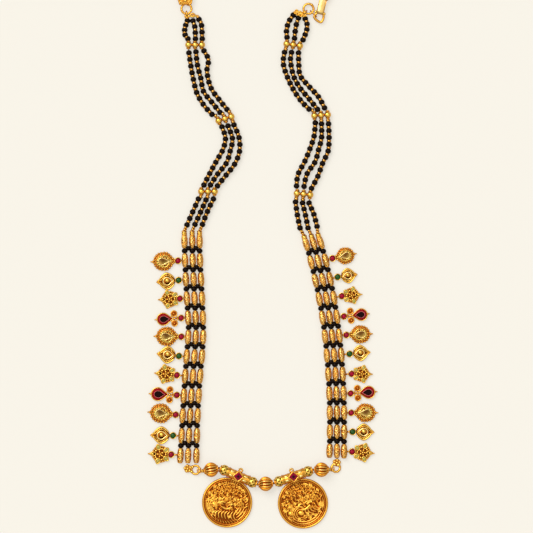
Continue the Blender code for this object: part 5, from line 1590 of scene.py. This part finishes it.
def chain_eye_places():
    """The middles of the two eyes that hold the chain, each with its outward direction."""
    reach = CHAIN_EYE_RADIUS - CHAIN_EYE_WIRE_RADIUS * 0.6
    run, cap_run = unit(plan(CLASP_HEAD) - plan(CLASP_FOOT)), heading(90 + CAP_TURN)
    clasp = plan(CLASP_HEAD, TOP_RING_HEIGHT) + run * (CLASP_BOX_LENGTH * 0.65 + reach)
    cap = plan(CAP_FOOT, TOP_RING_HEIGHT) + cap_run * (CAP_LENGTH + reach)
    return {"clasp": (clasp, run), "cap": (cap, cap_run)}


def slab_form(start, end, widths, base, thick, bevel=0.35, steps=8):
    """A flat bar with softened edges between two plan points."""
    across = np.cross(Z, unit(end - start))
    rings = []
    for share in np.linspace(0, 1, steps + 1):
        half = (widths[0] + (widths[1] - widths[0]) * share) / 2
        left = [(bevel - half, 0), (-half, bevel), (-half, thick - bevel), (bevel - half, thick)]
        outline = left + [(-x, z) for x, z in reversed(left)]
        spot = start + (end - start) * share
        rings.append([spot + across * x + Z * (base + z) for x, z in outline])
    return rings_form(rings)


def cap_scrolls(piece, spot):
    """Curls round a granule each, and two raised edges, on both sides of the cap."""
    for way in (-1, 1):
        for x, y, size in ((2.0, 1.0, 0.95), (2.1, 3.3, 0.8), (0.9, 5.6, 0.8), (0.7, 7.4, 0.6)):
            scroll = []
            for k in range(12):
                scroll.append(spot(*polar(size * (1 - 0.06 * k), 90 + way * (40 * k - 200), way * x, y)))
            piece.wire(smooth(scroll, 4), 0.3, "bright")
            piece.ball(spot(way * x, y), 0.5)
        low_edge = [spot(way * 2.75, 0.2), spot(way * 3.35, 2.4), spot(way * 3.3, 4.2)]
        high_edge = [spot(way * 3.0, 4.6, -0.3), spot(way * 2.2, 7), spot(way * 1.5, 9.2, -0.3)]
        piece.wire(smooth(low_edge, 8), 0.38)
        piece.wire(smooth(high_edge, 8), 0.34)


def cap_granules(piece, spot):
    """Granules across the shoulder and the foot, and three ringed balls up the middle."""
    for k in range(-4, 5):
        piece.ball(spot(k * 0.72, 4.3), 0.4, "bright", 10, 7)
        piece.ball(spot(k * 0.62, 0.15, -0.1), 0.36, "gold", 10, 7)
    for y, size in ((1.9, 1.0), (6.4, 0.75), (8.4, 0.55)):
        piece.ball(spot(0, y), 0.9 * size, "bright", 18, 11)
        piece.twist(placed(spot(0, y, 0.1)), 1.1 * size, 0.24, 14, sides=42)


def cap_piece():
    """The cap at the chain's end: two chased blocks, a ring at the foot and an eye on top."""
    run, across = heading(90 + CAP_TURN), heading(CAP_TURN)
    foot = plan(CAP_FOOT)
    shoulder, head = foot + run * CAP_LENGTH * 0.45, foot + run * CAP_LENGTH
    base = TOP_RING_HEIGHT - CAP_HEIGHT / 2
    top = base + CAP_HEIGHT - 0.3

    def spot(x, y, lift=0.0):
        return foot + across * x + run * y + Z * (top + lift)

    piece = Piece("cap")
    widths = (CAP_BASE_WIDTH * 0.86, CAP_BASE_WIDTH)
    piece.add(slab_form(foot, shoulder, widths, base, CAP_HEIGHT - 0.3), "relief")
    widths = (CAP_BASE_WIDTH * 0.94, CAP_TOP_WIDTH)
    piece.add(slab_form(shoulder, head, widths, base + 0.1, CAP_HEIGHT * 0.86), "relief")
    cap_scrolls(piece, spot)
    cap_granules(piece, spot)
    loop(piece, top_ring_place("left"), X, Y, TOP_RING_RADIUS, 0.56, 60, 0.1, 13)
    wraps(piece, top_ring_place("left", 60), top_ring_place("left", 84), 0.62, 0.2, 3)
    loop(piece, chain_eye_places()["cap"][0], X, Y, CHAIN_EYE_RADIUS, CHAIN_EYE_WIRE_RADIUS, 28)
    piece.make("end_cap")


def right_ring_piece():
    piece = Piece("ring_top_right")
    loop(piece, top_ring_place("right"), X, Y, TOP_RING_RADIUS, 0.56, 60, 0.05)
    piece.ball(top_ring_place("right", 52), 0.72)
    piece.make("top_ring_right")


def link_piece():
    """The upright link between the right top ring and the clasp's loop."""
    way = heading(CLASP_BEARING)
    piece = Piece("link")
    middle = top_ring_place("right", CLASP_BEARING) + way * LINK_REACH
    loop(piece, middle, way, Z, LINK_REACH + 1.15, 0.35, long_radius=1.25)
    piece.make("connector_link")


def clasp_bar(piece, foot, head, run, across):
    """The flat polished bar between fine edge wires, with its pointed loop and its hinge."""
    base = TOP_RING_HEIGHT - CLASP_BAR_THICKNESS / 2
    widths = (CLASP_BAR_WIDTH, CLASP_BAR_WIDTH)
    piece.add(slab_form(foot, head, widths, base, CLASP_BAR_THICKNESS - 0.1), "polished")
    piece.wire(smooth(plan(CLASP_LOOP, TOP_RING_HEIGHT), 10), 0.6, sides=10)
    hinge = foot + run * 0.4 + Z * TOP_RING_HEIGHT
    piece.wire([hinge - across * 2.1, hinge + across * 2.1], 0.75, sides=12)
    for way in (-1, 1):
        edge = across * way * (CLASP_BAR_WIDTH / 2 - 0.1) + Z * (base + CLASP_BAR_THICKNESS - 0.2)
        piece.wire([foot + edge, head + edge], 0.16, sides=6)
        piece.ball(hinge + across * way * 2.1, 0.8, "bright")


def clasp_box(piece, head, run, across):
    """The box at the bar's upper end, with two rails and rows of granules."""
    start, end = head - run * CLASP_BOX_LENGTH * 0.35, head + run * CLASP_BOX_LENGTH * 0.65
    base, widths = TOP_RING_HEIGHT - CLASP_BOX_THICKNESS / 2, (CLASP_BOX_WIDTH * 0.9, CLASP_BOX_WIDTH)
    piece.add(slab_form(start, end, widths, base, CLASP_BOX_THICKNESS - 0.2), "relief")
    top = Z * (base + CLASP_BOX_THICKNESS - 0.2)
    for way in (-1, 1):
        rail = [start + across * way * CLASP_BOX_WIDTH * 0.42, end + across * way * CLASP_BOX_WIDTH * 0.46]
        piece.wire(rail + top, 0.3)
    for k in range(7):
        spot = start + (end - start) * (k + 0.5) / 7 + top
        piece.ball(spot, 0.62)
        for way in (-1, 1):
            piece.ball(spot + across * way * 1.3, 0.52, "bright")
            piece.ball(spot + across * way * 0.65 + run * 0.6, 0.3, "gold", 8, 6)


def clasp_piece():
    """The bar with its loop, the ornamented box and the eye for the chain, soldered into one."""
    foot, head = plan([CLASP_FOOT, CLASP_HEAD])
    run = unit(head - foot)
    across = np.cross(Z, run)
    piece = Piece("clasp")
    clasp_bar(piece, foot, head, run, across)
    clasp_box(piece, head, run, across)
    loop(piece, chain_eye_places()["clasp"][0], run, across, CHAIN_EYE_RADIUS, CHAIN_EYE_WIRE_RADIUS, 28)
    piece.make("clasp_bar")


def end_ring_piece():
    """The upright oval ring between the clasp's eye and the chain."""
    place, run = chain_eye_places()["clasp"]
    piece = Piece("end_ring")
    middle, height = place + run * CHAIN_RING_RADIUS, TOP_RING_HEIGHT - CHAIN_EYE_WIRE_RADIUS
    loop(piece, middle, run, Z, CHAIN_RING_RADIUS, CHAIN_EYE_WIRE_RADIUS, 32, long_radius=height)
    piece.make("chain_end_ring")


def chain_route():
    """Half an oval between the cap's eye and the clasp's end ring."""
    eyes = chain_eye_places()
    (cap, cap_run), (clasp, clasp_run) = eyes["cap"], eyes["clasp"]
    start = cap + cap_run * (CHAIN_EYE_RADIUS + CHAIN_EYE_WIRE_RADIUS + CHAIN_GAP)
    end = clasp + clasp_run * (2 * CHAIN_RING_RADIUS + CHAIN_EYE_WIRE_RADIUS + CHAIN_GAP)
    angles = np.linspace(0, np.pi, 240)
    path = (start + end) / 2 + np.outer(np.cos(angles), (start - end) / 2)
    path += np.outer(np.sin(angles), Y * CHAIN_RISE)
    path[:, 2] = CHAIN_RADIUS
    return Route(path)


def chain_piece():
    """The back chain: long round-ended cable links, each turned a quarter from the last."""
    route, thick, half = chain_route(), 0.28, 1.35
    angles = full_turn(16)
    sin = np.sin(angles)
    length = half * (0.8 * sin + 0.2 * np.sign(sin) * np.abs(sin) ** 0.3)
    link = wire(np.stack([0.8 * np.cos(angles), np.zeros(16), length], -1), thick, 7, closed=True)
    room = route.length - 2 * half
    count = int(room / (2 * half - 2.6 * thick))
    piece = Piece("chain")
    for k in range(count + 1):
        piece.add(link, at=route.frame(half + room / count * k, math.pi / 4 + math.pi / 2 * (k % 2)))
    piece.make("back_chain")


for side, way in SIDES:
    for number in range(3):
        strand_piece(side, number)
        column_piece(side, number)
        spacer_piece(side, number)
    for number, row in enumerate(DANGLES[side], 1):
        dangle_piece(side, way, number, *row)
    coin_pendant(side)
    corner_piece(side, way)
    fork_piece(side)
ribbed_bead("left", front_places()["bead", "left"], END_BEAD_TURN["left"])
ribbed_bead("centre", front_places()["middle"], CENTRE_BEAD_TURN)
ribbed_bead("right", front_places()["bead", "right"], END_BEAD_TURN["right"])
front_wire()
cap_piece()
right_ring_piece()
link_piece()
clasp_piece()
end_ring_piece()
chain_piece()


# Floor, light and camera. Lengths here are in metres.


def add_floor(reach=3.0):
    """A plain paper ground just under the necklace."""
    mesh = bpy.data.meshes.new("floor")
    corners = [(-reach, -reach, 0), (reach, -reach, 0), (reach, reach, 0), (-reach, reach, 0)]
    mesh.from_pydata(corners, [], [(0, 1, 2, 3)])
    mesh.materials.append(paper_floor())
    floor = bpy.data.objects.new("floor", mesh)
    floor.location.z = -0.00005
    bpy.context.scene.collection.objects.link(floor)


def light_world():
    """A soft surround, brightest overhead."""
    world = bpy.data.worlds.new("studio")
    bpy.context.scene.world = world
    world.use_nodes = True
    nodes, links = world.node_tree.nodes, world.node_tree.links
    ground = nodes["Background"]
    where = nodes.new("ShaderNodeTexCoord")
    parts = nodes.new("ShaderNodeSeparateXYZ")
    links.new(where.outputs["Generated"], parts.inputs["Vector"])
    ramp = nodes.new("ShaderNodeValToRGB")
    stops = ramp.color_ramp.elements
    stops[0].position, stops[0].color = 0.0, (0.5, 0.48, 0.45, 1)
    stops[1].position, stops[1].color = 1.0, (1.1, 1.07, 1.0, 1)
    for position, value in ((0.35, 0.45), (0.62, 0.42), (0.84, 1.2)):
        stops.new(position).color = (value, value * 0.96, value * 0.9, 1)
    links.new(parts.outputs["Z"], ramp.inputs["Fac"])
    links.new(ramp.outputs["Color"], ground.inputs["Color"])
    ground.inputs["Strength"].default_value = 1.0


def add_lamp():
    lamp = bpy.data.lights.new("key", "SUN")
    lamp.energy, lamp.angle, lamp.color = 1.7, math.radians(40), (1.0, 0.97, 0.93)
    holder = bpy.data.objects.new("key", lamp)
    beam = Vector((0.5, -0.6, -1.0))
    holder.rotation_euler = beam.to_track_quat("-Z", "Y").to_euler()
    bpy.context.scene.collection.objects.link(holder)


def add_camera(distance=2.4, frame_width=0.2665, frame_middle=(0.00325, -0.00025), sensor_width=36):
    """Straight down over the photograph's frame, through a long lens."""
    data = bpy.data.cameras.new("camera")
    data.sensor_width = sensor_width
    data.lens = sensor_width * distance / frame_width
    data.clip_end = 20
    holder = bpy.data.objects.new("camera", data)
    holder.location = (SHIFT[0] + frame_middle[0], SHIFT[1] + frame_middle[1], distance)
    bpy.context.scene.collection.objects.link(holder)
    bpy.context.scene.camera = holder


add_floor()
light_world()
add_lamp()
add_camera()
bpy.context.scene.view_settings.view_transform = "Standard"
bpy.context.scene.view_settings.look = "None"
